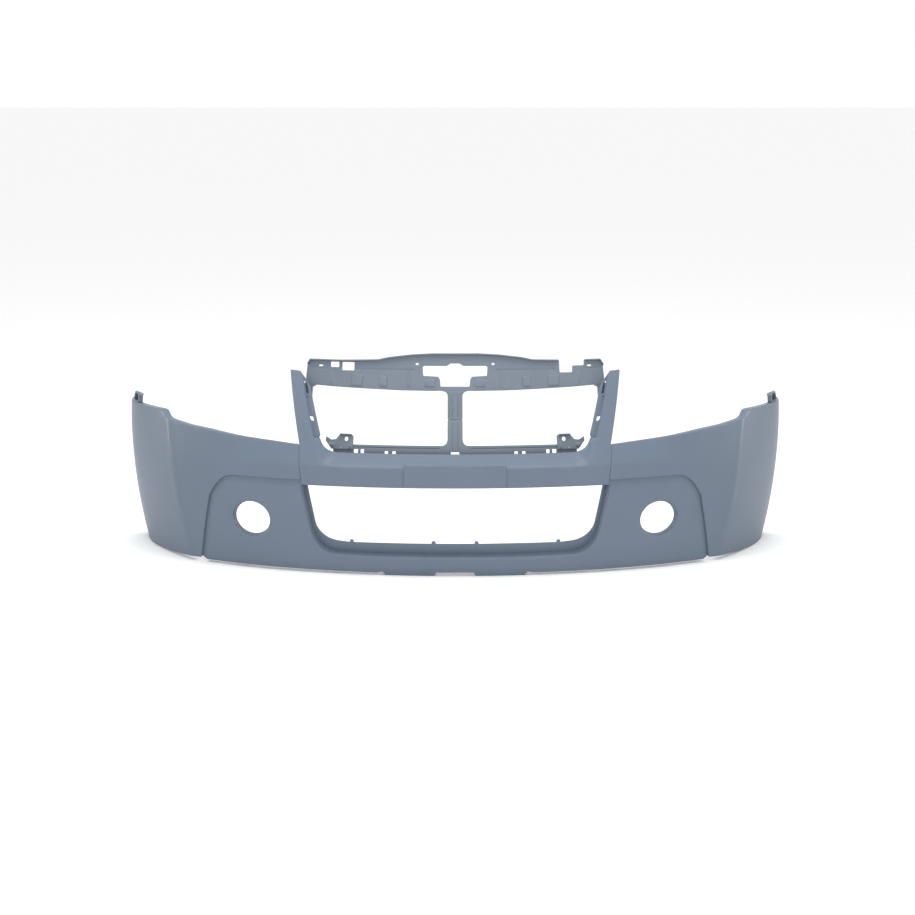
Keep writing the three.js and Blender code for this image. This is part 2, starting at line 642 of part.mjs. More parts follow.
function valance() {
  const edge = valanceOutline();
  const belowBar = block(-900, 900, -50, BAR_FOOT_Z - 2, -90, 90);
  const opening = plate(mouth(), -90, 90);
  const face = plate(edge, -POD_STEP - WALL, -POD_STEP).subtract(opening);
  const sleeve = rim(takenIn(mouth(), -WALL), WALL, SEAT_T - WALL, -POD_STEP).intersect(belowBar);
  const seatZone = plate(takenIn(mouth(), -WALL), SEAT_T - WALL, SEAT_T);
  const seat = seatZone.subtract(plate(mouth(SEAT_SIDE, SEAT_FOOT), -90, 90)).intersect(belowBar);
  const nubs = [-267, -55, 55, 267].map((s) => block(s - 5, s + 5, 70, 82, SEAT_T - WALL, SEAT_T));
  const hemZone = block(-POD_FOOT_S + 14, POD_FOOT_S - 14, -30, 18, -90, 90);
  const hem = rim(edge, WALL, -POD_STEP - FOOT_HEM, -POD_STEP).intersect(hemZone);
  const fogBosses = fogScrews.flatMap(([s, z]) => SIDES.map(([, side]) => [side * s, z]));
  const laps = lapScrews.flatMap(([s, z]) => SIDES.map(([, side]) => [side * s, z]));
  const body = joined([
    face,
    sleeve,
    seat,
    ...nubs,
    hem,
    ...fogBosses.map(([s, z]) => disc(s, z, SCREW.boss, FOG_EAR_T, -POD_STEP - 1)),
  ]);
  const holes = [
    ...SIDES.map(([, side]) => plate(ellipse(side * FOG.s, FOG.z, FOG.halfWidth, FOG.halfHeight), -30, 5)),
    ...fogBosses.map(([s, z]) => disc(s, z, SCREW.thread, -30, -POD_STEP - 1.5)),
    ...laps.map(([s, z]) => disc(s, z, SCREW.hole, -30, 5)),
    ...HEM_NUTS.map((s) => disc(s, -POD_STEP - 13, SCREW.hole, FOOT_Z - 3, FOOT_Z + 6, "z")),
  ];
  return bend(cutBy(body, holes), bodySkin, VALANCE_CUTS, VALANCE_ROWS);
}

// ---- Fog lamp rings ---------------------------------------------------------------------------------------------

function fogRing(side) {
  const { s, z, halfWidth, halfHeight, tube } = FOG;
  const front = -POD_STEP - WALL - LAP_GAP;
  const back = front - tube;
  const tubeWall = plate(ellipse(s, z, halfWidth + 1, halfHeight + 1), back, front);
  const seat = plate(ellipse(s, z, halfWidth + 1, halfHeight + 1), back, back + WALL);
  const ears = fogScrews.map(([es, ez]) => {
    const plateT = [FOG_EAR_T - LAP_GAP - WALL, FOG_EAR_T - LAP_GAP];
    const towards = [es + (s - es) * 0.14, ez + (z - ez) * 0.14];
    return disc(es, ez, SCREW.boss + 2, ...plateT).add(disc(...towards, SCREW.boss + 4, ...plateT));
  });
  const tubeBore = plate(ellipse(s, z, halfWidth - 2, halfHeight - 2), back + WALL, 5);
  const seatBore = plate(ellipse(s, z, halfWidth - 3, halfHeight - 3), back - 5, 5);
  const holes = fogScrews.map(([es, ez]) => disc(es, ez, SCREW.hole, -40, -5));
  const ring = cutBy(joined([tubeWall, seat, ...ears]), [tubeBore, seatBore, ...holes]);
  return bend(ring, bodySkin, FRONT_CUTS.slice(5, 8), [150], side);
}

addNode("lower_valance", valance(), PRIMED);
for (const [name, side] of SIDES) addNode("fog_lamp_ring_" + name, fogRing(side), PRIMED);

// ---- Header panel, with the upper leg of the strut --------------------------------------------------------------

const HEADER_ROWS = [STRUT_LAP_Z + STRUT_LAP + 20];
const HEADER_CUTS = bothSides(FRONT_CUTS.slice(0, 6));
const lapLegScrews = [-9, 9].map((s) => [s, STRUT_LAP_Z + 12]);

function headerOutline() {
  const { from, to, foot } = HEADER_LEG;
  return mirrored([
    [STRUT_HALF, STRUT_LAP_Z],
    [STRUT_HALF, HEADER_FOOT_Z - 16],
    ...corner([STRUT_HALF + 2, HEADER_FOOT_Z - 9], [STRUT_HALF + 5, HEADER_FOOT_Z - 2], [45, HEADER_FOOT_Z - 2], 2),
    [151, HEADER_FOOT_Z - 1],
    [319, HEADER_FOOT_Z + 4],
    [from, HEADER_FOOT_Z + 7],
    [from, foot],
    [to, foot],
    [HEADER_END_S + 5, 472],
    [HEADER_END_S + 3, 511],
    [HEADER_END_S - 6, HEADER_END_Z],
    [312, HEADER_END_Z],
    [210, HEADER_END_Z + 3],
    [180, HEADER_END_Z + 9],
    [118, HEADER_TOP_Z - 4],
    [62, HEADER_TOP_Z - 1],
  ]);
}

function header() {
  const edge = headerOutline();
  const upper = block(-500, 500, 500, 600, -90, 90);
  const lower = joined(
    SIDES.map(([, side]) => block(side > 0 ? 46 : 4 - HEADER_LEG.from, side > 0 ? HEADER_LEG.from - 4 : -46, 440, 470, -90, 90)),
  );
  const legFlanges = joined(
    [-1, 1].map((side) => {
      const inner = STRUT_HALF - WALL;
      return block(side > 0 ? inner : -STRUT_HALF, side > 0 ? STRUT_HALF : -inner, STRUT_LAP_Z, 462, -STRUT_FLANGE, 0);
    }),
  );
  const lip = rim(edge, WALL, -WALL, HEADER_LIP).intersect(upper.subtract(block(-500, 500, 400, 514, -90, 90)));
  const body = joined([
    plate(edge, -WALL, 0),
    lip,
    rim(edge, WALL, -14, 0).intersect(lower),
    legFlanges,
    ...lapLegScrews.map(([s, z]) => disc(s, z, SCREW.boss, -7, -1)),
  ]);
  const latch = mirrored([
    [39, 464],
    [41, 482],
    [46, 488],
    [86, 490],
    [88, 511],
    [84, 514],
    [23, 514],
    [12, 520],
  ]);
  const holes = [
    plate(latch, -30, 30),
    block(-343, -319, 507, 520, -30, 30),
    block(-310, -276, 500, 520, -30, 30),
    block(286, 323, 495, 560, -30, 30),
    block(322, 356, 511, 560, -30, 30),
    ...SIDES.map(([, side]) => block(side * 371 - 6, side * 371 + 6, 508, 512, -30, 30)),
    ...SIDES.map(([, side]) => block(side * 103 - 4, side * 103 + 4, 516, 522, -30, 30)),
    ...clipPlaces.flatMap(([s, z]) => SIDES.map(([, side]) => disc(side * s, z, CLIP_HOLE, -9, 9))),
    ...lapLegScrews.map(([s, z]) => disc(s, z, SCREW.thread, -12, -1.5)),
  ];
  return bend(cutBy(body, holes), frameSkin, HEADER_CUTS, HEADER_ROWS);
}

addNode("header_panel", header(), FRAME_PLASTIC);

// ---- Grille rail, with the lower leg of the strut ---------------------------------------------------------------

const RAIL_TAB_T = RAIL_BACK - WALL - RAIL_BOSS - LAP_GAP; // front of the tab that lies on the bar's bosses
const RAIL_ROWS = [RAIL_FOOT_Z - CELL_SHIFT];
const TONGUE_T = -7 - GAP; // the lower leg's tongue lies on the upper leg's bosses

function railOutline() {
  const top = STRUT_LAP_Z - GAP;
  return mirrored([
    [RAIL_END_S, RAIL_SHELF_Z],
    [RAIL_END_S, RAIL_TOP_Z],
    [50, RAIL_TOP_Z],
    ...corner([34, RAIL_TOP_Z], [STRUT_HALF + 3, RAIL_TOP_Z], [STRUT_HALF + 1, RAIL_TOP_Z + 12], 2),
    [STRUT_HALF, top],
  ]);
}

function rail() {
  const edge = railOutline();
  const top = STRUT_LAP_Z - GAP;
  const inner = STRUT_HALF - WALL;
  const tabs = railScrews.map(([s]) => block(s - 16, s + 16, RAIL_TAB_Z, RAIL_SHELF_Z + 2, RAIL_TAB_T - WALL, RAIL_TAB_T));
  const body = joined([
    plate(edge, -WALL, 0),
    block(-RAIL_END_S, RAIL_END_S, RAIL_SHELF_Z, RAIL_SHELF_Z + WALL, -WALL, RAIL_TAB_T),
    ...tabs,
    rim(edge, WALL, -14, 0).intersect(block(-RAIL_END_S - 9, RAIL_END_S + 9, RAIL_TOP_Z - 5, RAIL_TOP_Z + 5, -90, 90)),
    block(inner, STRUT_HALF, RAIL_SHELF_Z, top, -STRUT_FLANGE, 0).intersect(plate(edge, -90, 90)),
    block(-STRUT_HALF, -inner, RAIL_SHELF_Z, top, -STRUT_FLANGE, 0).intersect(plate(edge, -90, 90)),
    block(-inner - 1, inner + 1, STRUT_LAP_Z - 20, top, TONGUE_T - WALL, TONGUE_T),
    block(-inner + 1.5, inner - 1.5, top - 1, STRUT_LAP_Z + STRUT_LAP, TONGUE_T - WALL, TONGUE_T),
  ]);
  const slots = [
    [239, 248, 301, 311],
    [255, 266, 301, 311],
    [155, 164, 299, 308],
    [175, 184, 299, 308],
  ];
  const holes = [
    ...slots.flatMap(([s0, s1, z0, z1]) => [block(s0, s1, z0, z1, -9, 9), block(-s1, -s0, z0, z1, -9, 9)]),
    block(-11, 11, 299, 307, -9, 9),
    ...railScrews.map(([s, z]) => disc(s, z, SCREW.hole, RAIL_TAB_T - 9, RAIL_TAB_T + 3)),
    ...lapLegScrews.map(([s, z]) => disc(s, z, SCREW.hole, TONGUE_T - 9, TONGUE_T + 3)),
    ...SIDES.map(([, side]) => disc(side * BRACKET.screw[0], BRACKET.screw[1], SCREW.hole, -9, 3)),
  ];
  return bend(cutBy(body, holes), frameSkin, bothSides(FRONT_CUTS.slice(0, 4)), RAIL_ROWS);
}

// ---- Grille brackets on the rail --------------------------------------------------------------------------------

function bracket(side) {
  const points = [
    [268, 309],
    [268, 341],
    [273, 345],
    [304, 346],
    [315, 333],
    [327, 331],
    [343, 339],
    [343, 328],
    [326, 309],
  ];
  const [s, z] = BRACKET.screw;
  const holes = [
    disc(s, z, SCREW.thread, -9, 9),
    plate(ellipse(...BRACKET.hole, 5, 5), -9, 9),
  ];
  return bend(cutBy(plate(points, LAP_GAP, LAP_GAP + WALL), holes), frameSkin, [266], RAIL_ROWS, side);
}

addNode("grille_rail", rail(), FRAME_PLASTIC);
for (const [name, side] of SIDES) addNode("grille_bracket_" + name, bracket(side), FRAME_PLASTIC);

// ---- Number plate plinth ----------------------------------------------------------------------------------------

function plinth() {
  const { half, foot, top, proud } = PLINTH;
  const slopeRun = (BAR_SLOPE_DEPTH * (top - WALL - BAR_CREASE_Z)) / (BAR_TOP_Z - BAR_CREASE_Z);
  const body = joined([
    block(-half, half, foot, top, GAP + 0.7, proud),
    block(-half, half, top - WALL + 1, top, 1.5 - slopeRun, proud),
    ...plinthScrews.map(([s, z]) => disc(s, z, SCREW.boss, GAP, 2)),
  ]);
  const holes = plinthScrews.map(([s, z]) => disc(s, z, SCREW.thread, -1, proud - 1));
  return bend(cutBy(body, holes), plinthSkin, bothSides(FRONT_CUTS.slice(0, 2)));
}

addNode("plate_plinth", plinth(), PRIMED);

// ---- Side retainers: boxes on the wings' rear tops, each with a hook that catches under the fender --------------

// An outline over the wing's top edge, as distances behind the hook's tip and above the edge
const overTop = (points) => points.map(([s, z]) => [RETAINER_S + s, wingTopZ(RETAINER_S + s) + GAP + z]);

function retainer(side) {
  const front = RETAINER_T - WALL;
  const back = RETAINER_T - RETAINER_DEPTH;
  const hook = overTop([
    [33, 0],
    [33, 19],
    [0, 23],
    [3, 28],
    [60, 29],
    [82, 25],
    [95, 14],
    [RETAINER_LENGTH, 0],
  ]);
  const slot = overTop([
    [38, WALL],
    [38, 20],
    [60, 23],
    [78, 20],
    [89, 10],
    [93, WALL],
  ]);
  const box = overTop([
    [34, 0],
    [34, 23],
    [60, 26],
    [80, 23],
    [92, 12],
    [RETAINER_LENGTH - 3, 0],
  ]);
  const body = joined([plate(hook, front, RETAINER_T).subtract(plate(slot, -90, 90)), rim(box, WALL, back, front)]);
  const holes = retainerScrews.map(([s, t]) => disc(s, t, SCREW.hole, wingTopZ(s) - 3, wingTopZ(s) + 9, "z"));
  const cuts = REAR_CUTS.filter((s) => s > RETAINER_S && s < RETAINER_S + RETAINER_LENGTH);
  return bend(cutBy(body.add(plate(box, back, back + WALL)), holes), bodySkin, cuts, [], side);
}

for (const [name, side] of SIDES) addNode("side_retainer_" + name, retainer(side), FRAME_PLASTIC);

// ---- Screws -----------------------------------------------------------------------------------------------------

for (const [name, side] of SIDES) {
  lapScrews.forEach(([s, z], i) => {
    const head = -POD_STEP - WALL - LAP_GAP;
    addScrew("lap_screw_" + name + "_" + (i + 1), bodySkin, [side * s, z, head], LAP_BOSS_DEPTH + 1.8);
  });
  fogScrews.forEach(([s, z], i) => {
    const head = FOG_EAR_T - LAP_GAP - WALL - GAP;
    addScrew("fog_screw_" + name + "_" + (i + 1), bodySkin, [side * s, z, head], -head - POD_STEP - 2.3);
  });
  seamScrews.forEach((z, i) => {
    const head = seamS(z) - WALL - 1;
    addScrew("seam_screw_" + name + "_" + (i + 1), bodySkin, [side * head, z, -11], 2 * WALL + 2, "s", side);
  });
  const [s, z] = BRACKET.screw;
  addScrew("bracket_screw_" + name, frameSkin, [side * s, z, -WALL - GAP], WALL + GAP + LAP_GAP + 2.5);
  retainerScrews.forEach(([place, depth], i) => {
    const head = wingTopZ(place) - WALL - GAP;
    addScrew("retainer_screw_" + name + "_" + (i + 1), bodySkin, [side * place, head, depth], 2 * WALL, "z");
  });
}
railScrews.forEach(([s, z], i) => {
  const head = -RAIL_BACK + RAIL_TAB_T - WALL - GAP;
  addScrew("rail_screw_" + (i + 1), plinthSkin, [s, z, head], -head - 2.5);
});
plinthScrews.forEach(([s, z], i) => {
  addScrew("plinth_screw_" + (i + 1), bodySkin, [s, z, -WALL - LAP_GAP], WALL + LAP_GAP + 2.4);
});
lapLegScrews.forEach(([s, z], i) => {
  addScrew("strut_screw_" + (i + 1), frameSkin, [s, z, TONGUE_T - WALL - GAP], -TONGUE_T + WALL + GAP - 2.3);
});

// ---- Spring nuts on the foot hem, where the undertray is fastened -----------------------------------------------

function springNut(s) {
  const z0 = FOOT_Z - GAP - 1;
  const z1 = FOOT_Z + WALL + GAP + 1;
  const back = -POD_STEP - FOOT_HEM - 2 * LAP_GAP - 1;
  const body = block(s - 8, s + 8, z0, z1, back, back + 16);
  const gap = block(s - 9, s + 9, z0 + 1, z1 - 1, back + 1, back + 30);
  const hole = disc(s, -POD_STEP - 13, SCREW.thread, z0 - 3, z1 + 3, "z");
  return bend(cutBy(body, [gap, hole]), bodySkin, []);
}

HEM_NUTS.forEach((s, i) => addNode("spring_nut_" + (i + 1), springNut(s), ZINC));

// ---- Push retainers that hold the header's legs to the pillars' ears --------------------------------------------

function clipBodyGeometry() {
  const { barrel, bore, flange, flangeHeight } = CLIP;
  const profile = [
    [bore, -flangeHeight],
    [flange, -flangeHeight],
    [flange, 0],
    [barrel, 0],
    [barrel, CLIP_LENGTH],
    [bore, CLIP_LENGTH],
    [bore, -flangeHeight],
  ];
  return new THREE.LatheGeometry(vectors(profile), 8);
}

function clipPinGeometry() {
  const { pin, pinHead, pinHeadHeight, flangeHeight } = CLIP;
  const seat = -flangeHeight - GAP;
  const profile = [
    [0, seat - pinHeadHeight],
    [pinHead, seat - pinHeadHeight],
    [pinHead, seat],
    [pin, seat],
    [pin, CLIP_LENGTH - 1],
    [0, CLIP_LENGTH - 1],
  ];
  return new THREE.LatheGeometry(vectors(profile), 8);
}

for (const [name, side] of SIDES) {
  clipPlaces.forEach(([s, z], i) => {
    const place = [side * s, z, -WALL - GAP];
    const label = name + "_" + (i + 1);
    standOn(addNode("clip_body_" + label, clipBodyGeometry(), BLACK_NYLON), frameSkin, place);
    standOn(addNode("clip_pin_" + label, clipPinGeometry(), BLACK_NYLON), frameSkin, place);
  });
}

// ---- Origin: the middle of the footprint ------------------------------------------------------------------------

cover.updateMatrixWorld(true);
const bounds = new THREE.Box3().setFromObject(cover, true);
cover.position.set(0, -(bounds.min.y + bounds.max.y) / 2, -bounds.min.z);

export default cover;
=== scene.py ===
import math

import bmesh
import bpy
import numpy as np
from mathutils import Euler, Matrix, Vector
from mathutils.geometry import delaunay_2d_cdt


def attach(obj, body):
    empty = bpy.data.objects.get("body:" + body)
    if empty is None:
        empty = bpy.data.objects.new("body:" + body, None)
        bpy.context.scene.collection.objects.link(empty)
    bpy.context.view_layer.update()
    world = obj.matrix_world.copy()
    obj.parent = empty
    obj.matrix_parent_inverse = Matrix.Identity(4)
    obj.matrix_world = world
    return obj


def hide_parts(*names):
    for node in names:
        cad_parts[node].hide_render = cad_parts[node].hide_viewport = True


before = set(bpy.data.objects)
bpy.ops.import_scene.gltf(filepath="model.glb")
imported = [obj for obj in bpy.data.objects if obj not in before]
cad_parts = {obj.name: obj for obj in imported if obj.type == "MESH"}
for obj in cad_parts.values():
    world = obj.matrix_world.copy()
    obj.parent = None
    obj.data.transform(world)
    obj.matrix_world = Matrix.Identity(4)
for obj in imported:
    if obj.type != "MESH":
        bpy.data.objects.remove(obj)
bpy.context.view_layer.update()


# Wings: the two outer mouldings that wrap round the front corners of the car to the wheel arches. Each is
# one injection moulding of primed polypropylene, WALL thick, with its edges turned in behind. It is drawn
# flat, as length s along the body and height z in millimetres, and then laid on the body's curve.

TURN_LENGTH, TURN_LINEAR, TURN_CUBIC = 895, 30.7, 11.9
CORNER_TURN, CORNER_WIDTH, CORNER_S, CORNER_SLANT = 16, 46, 722, 0.13
TAIL_TURN, TAIL_S, TAIL_LENGTH = 10, 930, 150
BELLY_Z, TUCK_FOOT, TUCK_TOP, TUCK_TOP_HEIGHT = 280, 28, 10, 150
LEAN, LEAN_FULL_S, LEAN_END_S = 0.36, 450, 640
BAR_CREASE_Z, BAR_TOP_Z, BAR_SLOPE_DEPTH, BAR_END_S, BAR_RUN_OUT = 281, 308, 45, 300, 45
CREASE_SOFTNESS = 3.5
FRONT_Y = -247.229  # the body's foremost line lies this far in front of the middle of the footprint
WALL = 2.6


def smooth(k):
    k = np.clip(k, 0, 1)
    return k * k * (3 - 2 * k)


def heading(s, z):
    q = s / TURN_LENGTH
    corner = CORNER_TURN * smooth((s - CORNER_S - CORNER_SLANT * z) / CORNER_WIDTH + 0.5)
    tail = TAIL_TURN * smooth((s - TAIL_S) / TAIL_LENGTH)
    return np.radians(TURN_LINEAR * q + TURN_CUBIC * q**3 + corner + tail)


def rising(z):
    """Height above the bar's crease, with the crease itself rounded."""
    u = z - BAR_CREASE_Z
    soft = (u + CREASE_SOFTNESS) ** 2 / (4 * CREASE_SOFTNESS)
    return np.where(u < -CREASE_SOFTNESS, 0, np.where(u > CREASE_SOFTNESS, u, soft))


def body_back(s, z):
    tuck = np.where(
        z < BELLY_Z,
        TUCK_FOOT * ((BELLY_Z - z) / BELLY_Z) ** 2,
        TUCK_TOP * ((z - BELLY_Z) / TUCK_TOP_HEIGHT) ** 2,
    )
    fade = 1 - smooth((np.abs(s) - LEAN_FULL_S) / (LEAN_END_S - LEAN_FULL_S))
    leaning = LEAN * rising(z) * fade
    sloping = BAR_SLOPE_DEPTH * rising(z) / (BAR_TOP_Z - BAR_CREASE_Z)
    return tuck + sloping + (leaning - sloping) * smooth((np.abs(s) - BAR_END_S) / BAR_RUN_OUT)


def on_curve(back, s, z):
    """Point of the body's plan curve at length s, set back by a distance, in millimetres."""
    side = np.where(s < 0, -1, 1)
    length = np.abs(s)
    steps = 90
    middles = (np.arange(steps) + 0.5) / steps
    angle = heading(length[:, None] * middles, z[:, None])
    x = np.cos(angle).sum(axis=1) * length / steps
    y = np.sin(angle).sum(axis=1) * length / steps
    end = heading(length, z)
    depth = back(s, z)
    return np.stack([side * (x - np.sin(end) * depth), y + np.cos(end) * depth + FRONT_Y, z], axis=1)


def laid(back, s, z, t):
    """Points t in front of a surface, in metres, and the surface's outward direction there."""
    s, z = np.asarray(s, float), np.asarray(z, float)
    h = 0.4
    along = on_curve(back, s + h, z) - on_curve(back, s - h, z)
    up = on_curve(back, s, z + h) - on_curve(back, s, z - h)
    out = np.cross(along, up)
    out /= np.linalg.norm(out, axis=1)[:, None]
    return (on_curve(back, s, z) + out * np.asarray(t)[:, None]) * 0.001, out


def turning(points):
    """1 for an outline that runs anticlockwise, -1 for one that runs clockwise."""
    x, y = points[:, 0], points[:, 1]
    return 1 if (x * np.roll(y, -1) - np.roll(x, -1) * y).sum() > 0 else -1


def rounded(points, radius, spacing):
    """The outline with its corners rounded and its long sides divided."""
    points = np.asarray(points, float)
    made = []
    for i, corner in enumerate(points):
        before, after = points[i - 1], points[(i + 1) % len(points)]
        u, v = before - corner, after - corner
        lu, lv = np.linalg.norm(u), np.linalg.norm(v)
        bend = math.pi - math.acos(np.clip(u @ v / (lu * lv), -1, 1))
        if bend < math.radians(12):
            made.append(corner)
            continue
        cut = min(radius * math.tan(bend / 2), 0.42 * lu, 0.42 * lv)
        start, end = corner + u * cut / lu, corner + v * cut / lv
        count = max(2, int(math.degrees(bend) / 14))
        for k in np.linspace(0, 1, count + 1):
            made.append((1 - k) ** 2 * start + 2 * k * (1 - k) * corner + k**2 * end)
    loop = []
    for a, b in zip(made, made[1:] + made[:1]):
        parts = max(1, int(np.linalg.norm(b - a) / spacing + 0.5))
        loop += [a + (b - a) * k / parts for k in range(parts)]
    return np.array(loop)


def inward(loop, material_side):
    """Direction into the material at each point of a loop, longer at corners to keep the wall's width."""
    u = loop - np.roll(loop, 1, axis=0)
    v = np.roll(loop, -1, axis=0) - loop
    u /= np.linalg.norm(u, axis=1)[:, None]
    v /= np.linalg.norm(v, axis=1)[:, None]
    turn = turning(loop) * material_side
    normal = np.stack([-(u[:, 1] + v[:, 1]), u[:, 0] + v[:, 0]], axis=1) * turn
    return normal / (1 + (u * v).sum(axis=1)).clip(0.5)[:, None]


def inside(points, loops):
    """Which points lie inside the first loop and outside the others."""
    crossings = np.zeros(len(points), int)
    for loop in loops:
        a, b = loop, np.roll(loop, -1, axis=0)
        for start in range(0, len(points), 4000):
            p = points[start : start + 4000, None]
            between = (a[:, 1] > p[..., 1]) != (b[:, 1] > p[..., 1])
            rise = np.where(b[:, 1] == a[:, 1], 1, b[:, 1] - a[:, 1])
            x = a[:, 0] + (p[..., 1] - a[:, 1]) / rise * (b[:, 0] - a[:, 0])
            crossings[start : start + 4000] += (between & (p[..., 0] < x)).sum(axis=1)
    return crossings % 2 == 1


def far_from(points, others, distance):
    keep = np.ones(len(points), bool)
    for start in range(0, len(points), 2000):
        gap = np.linalg.norm(points[start : start + 2000, None] - others[None], axis=2).min(axis=1)
        keep[start : start + 2000] = gap > distance
    return keep


def moulding(outline, holes=(), rows=(), relief=None, hem=None, edge=1.0, corner=3.0, spacing=7.0, wall=WALL):
    """Flat closed shell of a moulded wall: (s, z, t) points and faces. The front face follows relief(s, z),
    the edges are rounded by edge(s, z), and hem(s, z) says how deep each edge is turned in."""
    loops = [rounded(outline, corner, spacing)] + [rounded(h, min(corner, 2.5), spacing) for h in holes]
    into = [inward(loop, 1 if i == 0 else -1) for i, loop in enumerate(loops)]
    radii = [edge(*loop.T) if callable(edge) else np.full(len(loop), float(edge)) for loop in loops]
    fronts = [loop + n * r[:, None] for loop, n, r in zip(loops, into, radii)]
    border = np.concatenate(fronts)
    parts = [border]
    edges, first = [], 0
    for loop in fronts:
        n = len(loop)
        edges += [(first + i, first + (i + 1) % n) for i in range(n)]
        first += n
    for row in rows:
        row = np.asarray(row, float)
        lengths = np.concatenate([[0], np.cumsum(np.linalg.norm(np.diff(row, axis=0), axis=1))])
        places = np.linspace(0, lengths[-1], max(2, int(lengths[-1] / spacing)))
        line = np.stack([np.interp(places, lengths, row[:, i]) for i in range(2)], axis=1)
        keep = inside(line, fronts) & far_from(line, border, 0.8)
        numbers = np.cumsum(keep) - 1 + first
        edges += [(numbers[i], numbers[i + 1]) for i in range(len(line) - 1) if keep[i] and keep[i + 1]]
        parts.append(line[keep])
        first += keep.sum()
    low, high = border.min(axis=0), border.max(axis=0)
    height = spacing * 0.866
    grid = []
    for j, y in enumerate(np.arange(low[1], high[1], height)):
        x = np.arange(low[0] + (j % 2) * spacing / 2, high[0], spacing)
        grid.append(np.stack([x, np.full_like(x, y)], axis=1))
    grid = np.concatenate(grid)
    fixed = np.concatenate(parts)
    grid = grid[inside(grid, fronts)]
    grid = grid[far_from(grid, fixed, spacing * 0.55)]
    flat = np.concatenate([fixed, grid])
    vectors = [Vector(p) for p in flat.tolist()]
    made, _, faces, origin, _, _ = delaunay_2d_cdt(vectors, [tuple(map(int, e)) for e in edges], [], 0, 1e-5)
    points = np.array([tuple(p) for p in made])
    number = {old: new for new, olds in enumerate(origin) for old in olds}
    faces = np.array(faces)
    faces = faces[inside(points[faces].mean(axis=1), fronts)]
    if not callable(relief):
        level = relief or 0
        relief = lambda s, z: np.full_like(s, level)
    front_t = relief(points[:, 0], points[:, 1])
    back = points.copy()
    shells, quads = [], []
    total = 2 * len(points)
    first = 0
    for loop, n, front, edge in zip(loops, into, fronts, radii):
        count = len(loop)
        ids = np.array([number[first + i] for i in range(count)])
        first += count
        base = relief(front[:, 0], front[:, 1])
        depth = np.maximum(hem(loop[:, 0], loop[:, 1]) if hem else np.full(count, wall), wall)
        k = np.clip((depth - wall) / 2, 0, 1)
        fillet = np.clip((depth - wall) / 2, 0, 1.2)
        lip = np.minimum(0.4, edge)
        rings = []
        for angle in np.linspace(0, math.pi / 2, 6)[1:]:
            rings.append((edge * (1 - math.sin(angle)), base - edge * (1 - math.cos(angle))))
        rings.append((0, base - np.maximum(depth - lip, edge)))
        rings.append((lip, base - np.maximum(depth, edge + lip)))
        inner = lip + (wall - lip) * k
        rings.append((inner, base - np.maximum(depth, edge + lip)))
        rings.append((inner, base - np.where(k > 0, wall + fillet, np.maximum(depth, edge + lip))))
        end = edge + (wall + fillet - edge) * k
        back[ids] = loop + n * np.maximum(end, inner + 0.05)[:, None]
        previous = ids
        for inset, t in rings:
            inset = np.broadcast_to(inset, count)
            place = loop + n * inset[:, None]
            shells.append(np.column_stack([place, np.broadcast_to(t, count)]))
            current = total + np.arange(count)
            total += count
            following = np.roll(np.arange(count), -1)
            quads += list(zip(previous, current, current[following], previous[following]))
            previous = current
        current = ids + len(points)
        following = np.roll(np.arange(count), -1)
        quads += list(zip(previous, current, current[following], previous[following]))
    outer = np.column_stack([points, front_t])
    inner = np.column_stack([back, relief(back[:, 0], back[:, 1]) - wall])
    every = np.concatenate([outer, inner] + shells)
    # The outline's direction decides how the side faces run, so all are turned outwards at the end.
    polygons = [tuple(map(int, f)) for f in faces]
    polygons += [tuple(int(v) + len(points) for v in f[::-1]) for f in faces]
    return every, polygons + [tuple(map(int, q)) for q in quads]


def piece(name, shells, back, look, slot_name, *nodes, body="cover", crease=38):
    """One object made of flat shells laid on a surface. It stands for the named CAD nodes."""
    points, polygons = [], []
    for flat, faces in shells:
        placed, _ = laid(back, flat[:, 0], flat[:, 1], flat[:, 2])
        polygons += [tuple(v + sum(map(len, points)) for v in f) for f in faces]
        points.append(placed)
    mesh = bpy.data.meshes.new(name)
    mesh.from_pydata(np.concatenate(points).tolist(), [], polygons)
    return finished(name, mesh, look, slot_name, *nodes, body=body, crease=crease)


def finished(name, mesh, look, slot_name, *nodes, body="cover", crease=38):
    work = bmesh.new()
    work.from_mesh(mesh)
    bmesh.ops.remove_doubles(work, verts=work.verts, dist=2e-6)
    bmesh.ops.dissolve_degenerate(work, edges=work.edges, dist=1e-6)
    bmesh.ops.recalc_face_normals(work, faces=work.faces)
    work.to_mesh(mesh)
    work.free()
    mesh.materials.clear()
    mesh.materials.append(look)
    mesh.shade_smooth()
    mesh.set_sharp_from_angle(angle=math.radians(crease))
    made = bpy.data.objects.new(name, mesh)
    bpy.context.collection.objects.link(made)
    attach(made, body)
    if nodes:
        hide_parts(*nodes)
    return made


def linear(colour):
    """An sRGB hex colour as linear red, green, blue and alpha."""
    parts = [int(colour[i : i + 2], 16) / 255 for i in (1, 3, 5)]
    return [c / 12.92 if c <= 0.04045 else ((c + 0.055) / 1.055) ** 2.4 for c in parts] + [1]


def add_node(tree, kind, links=(), **settings):
    """Adds a node: settings are its inputs by name or its properties; links are (input, output socket)."""
    made = tree.nodes.new(kind)
    for key, value in settings.items():
        name = key.replace("_", " ")
        if hasattr(made, key):
            setattr(made, key, value)
        else:
            made.inputs[name].default_value = value
    for socket, source in links:
        tree.links.new(source, made.inputs[socket])
    return made


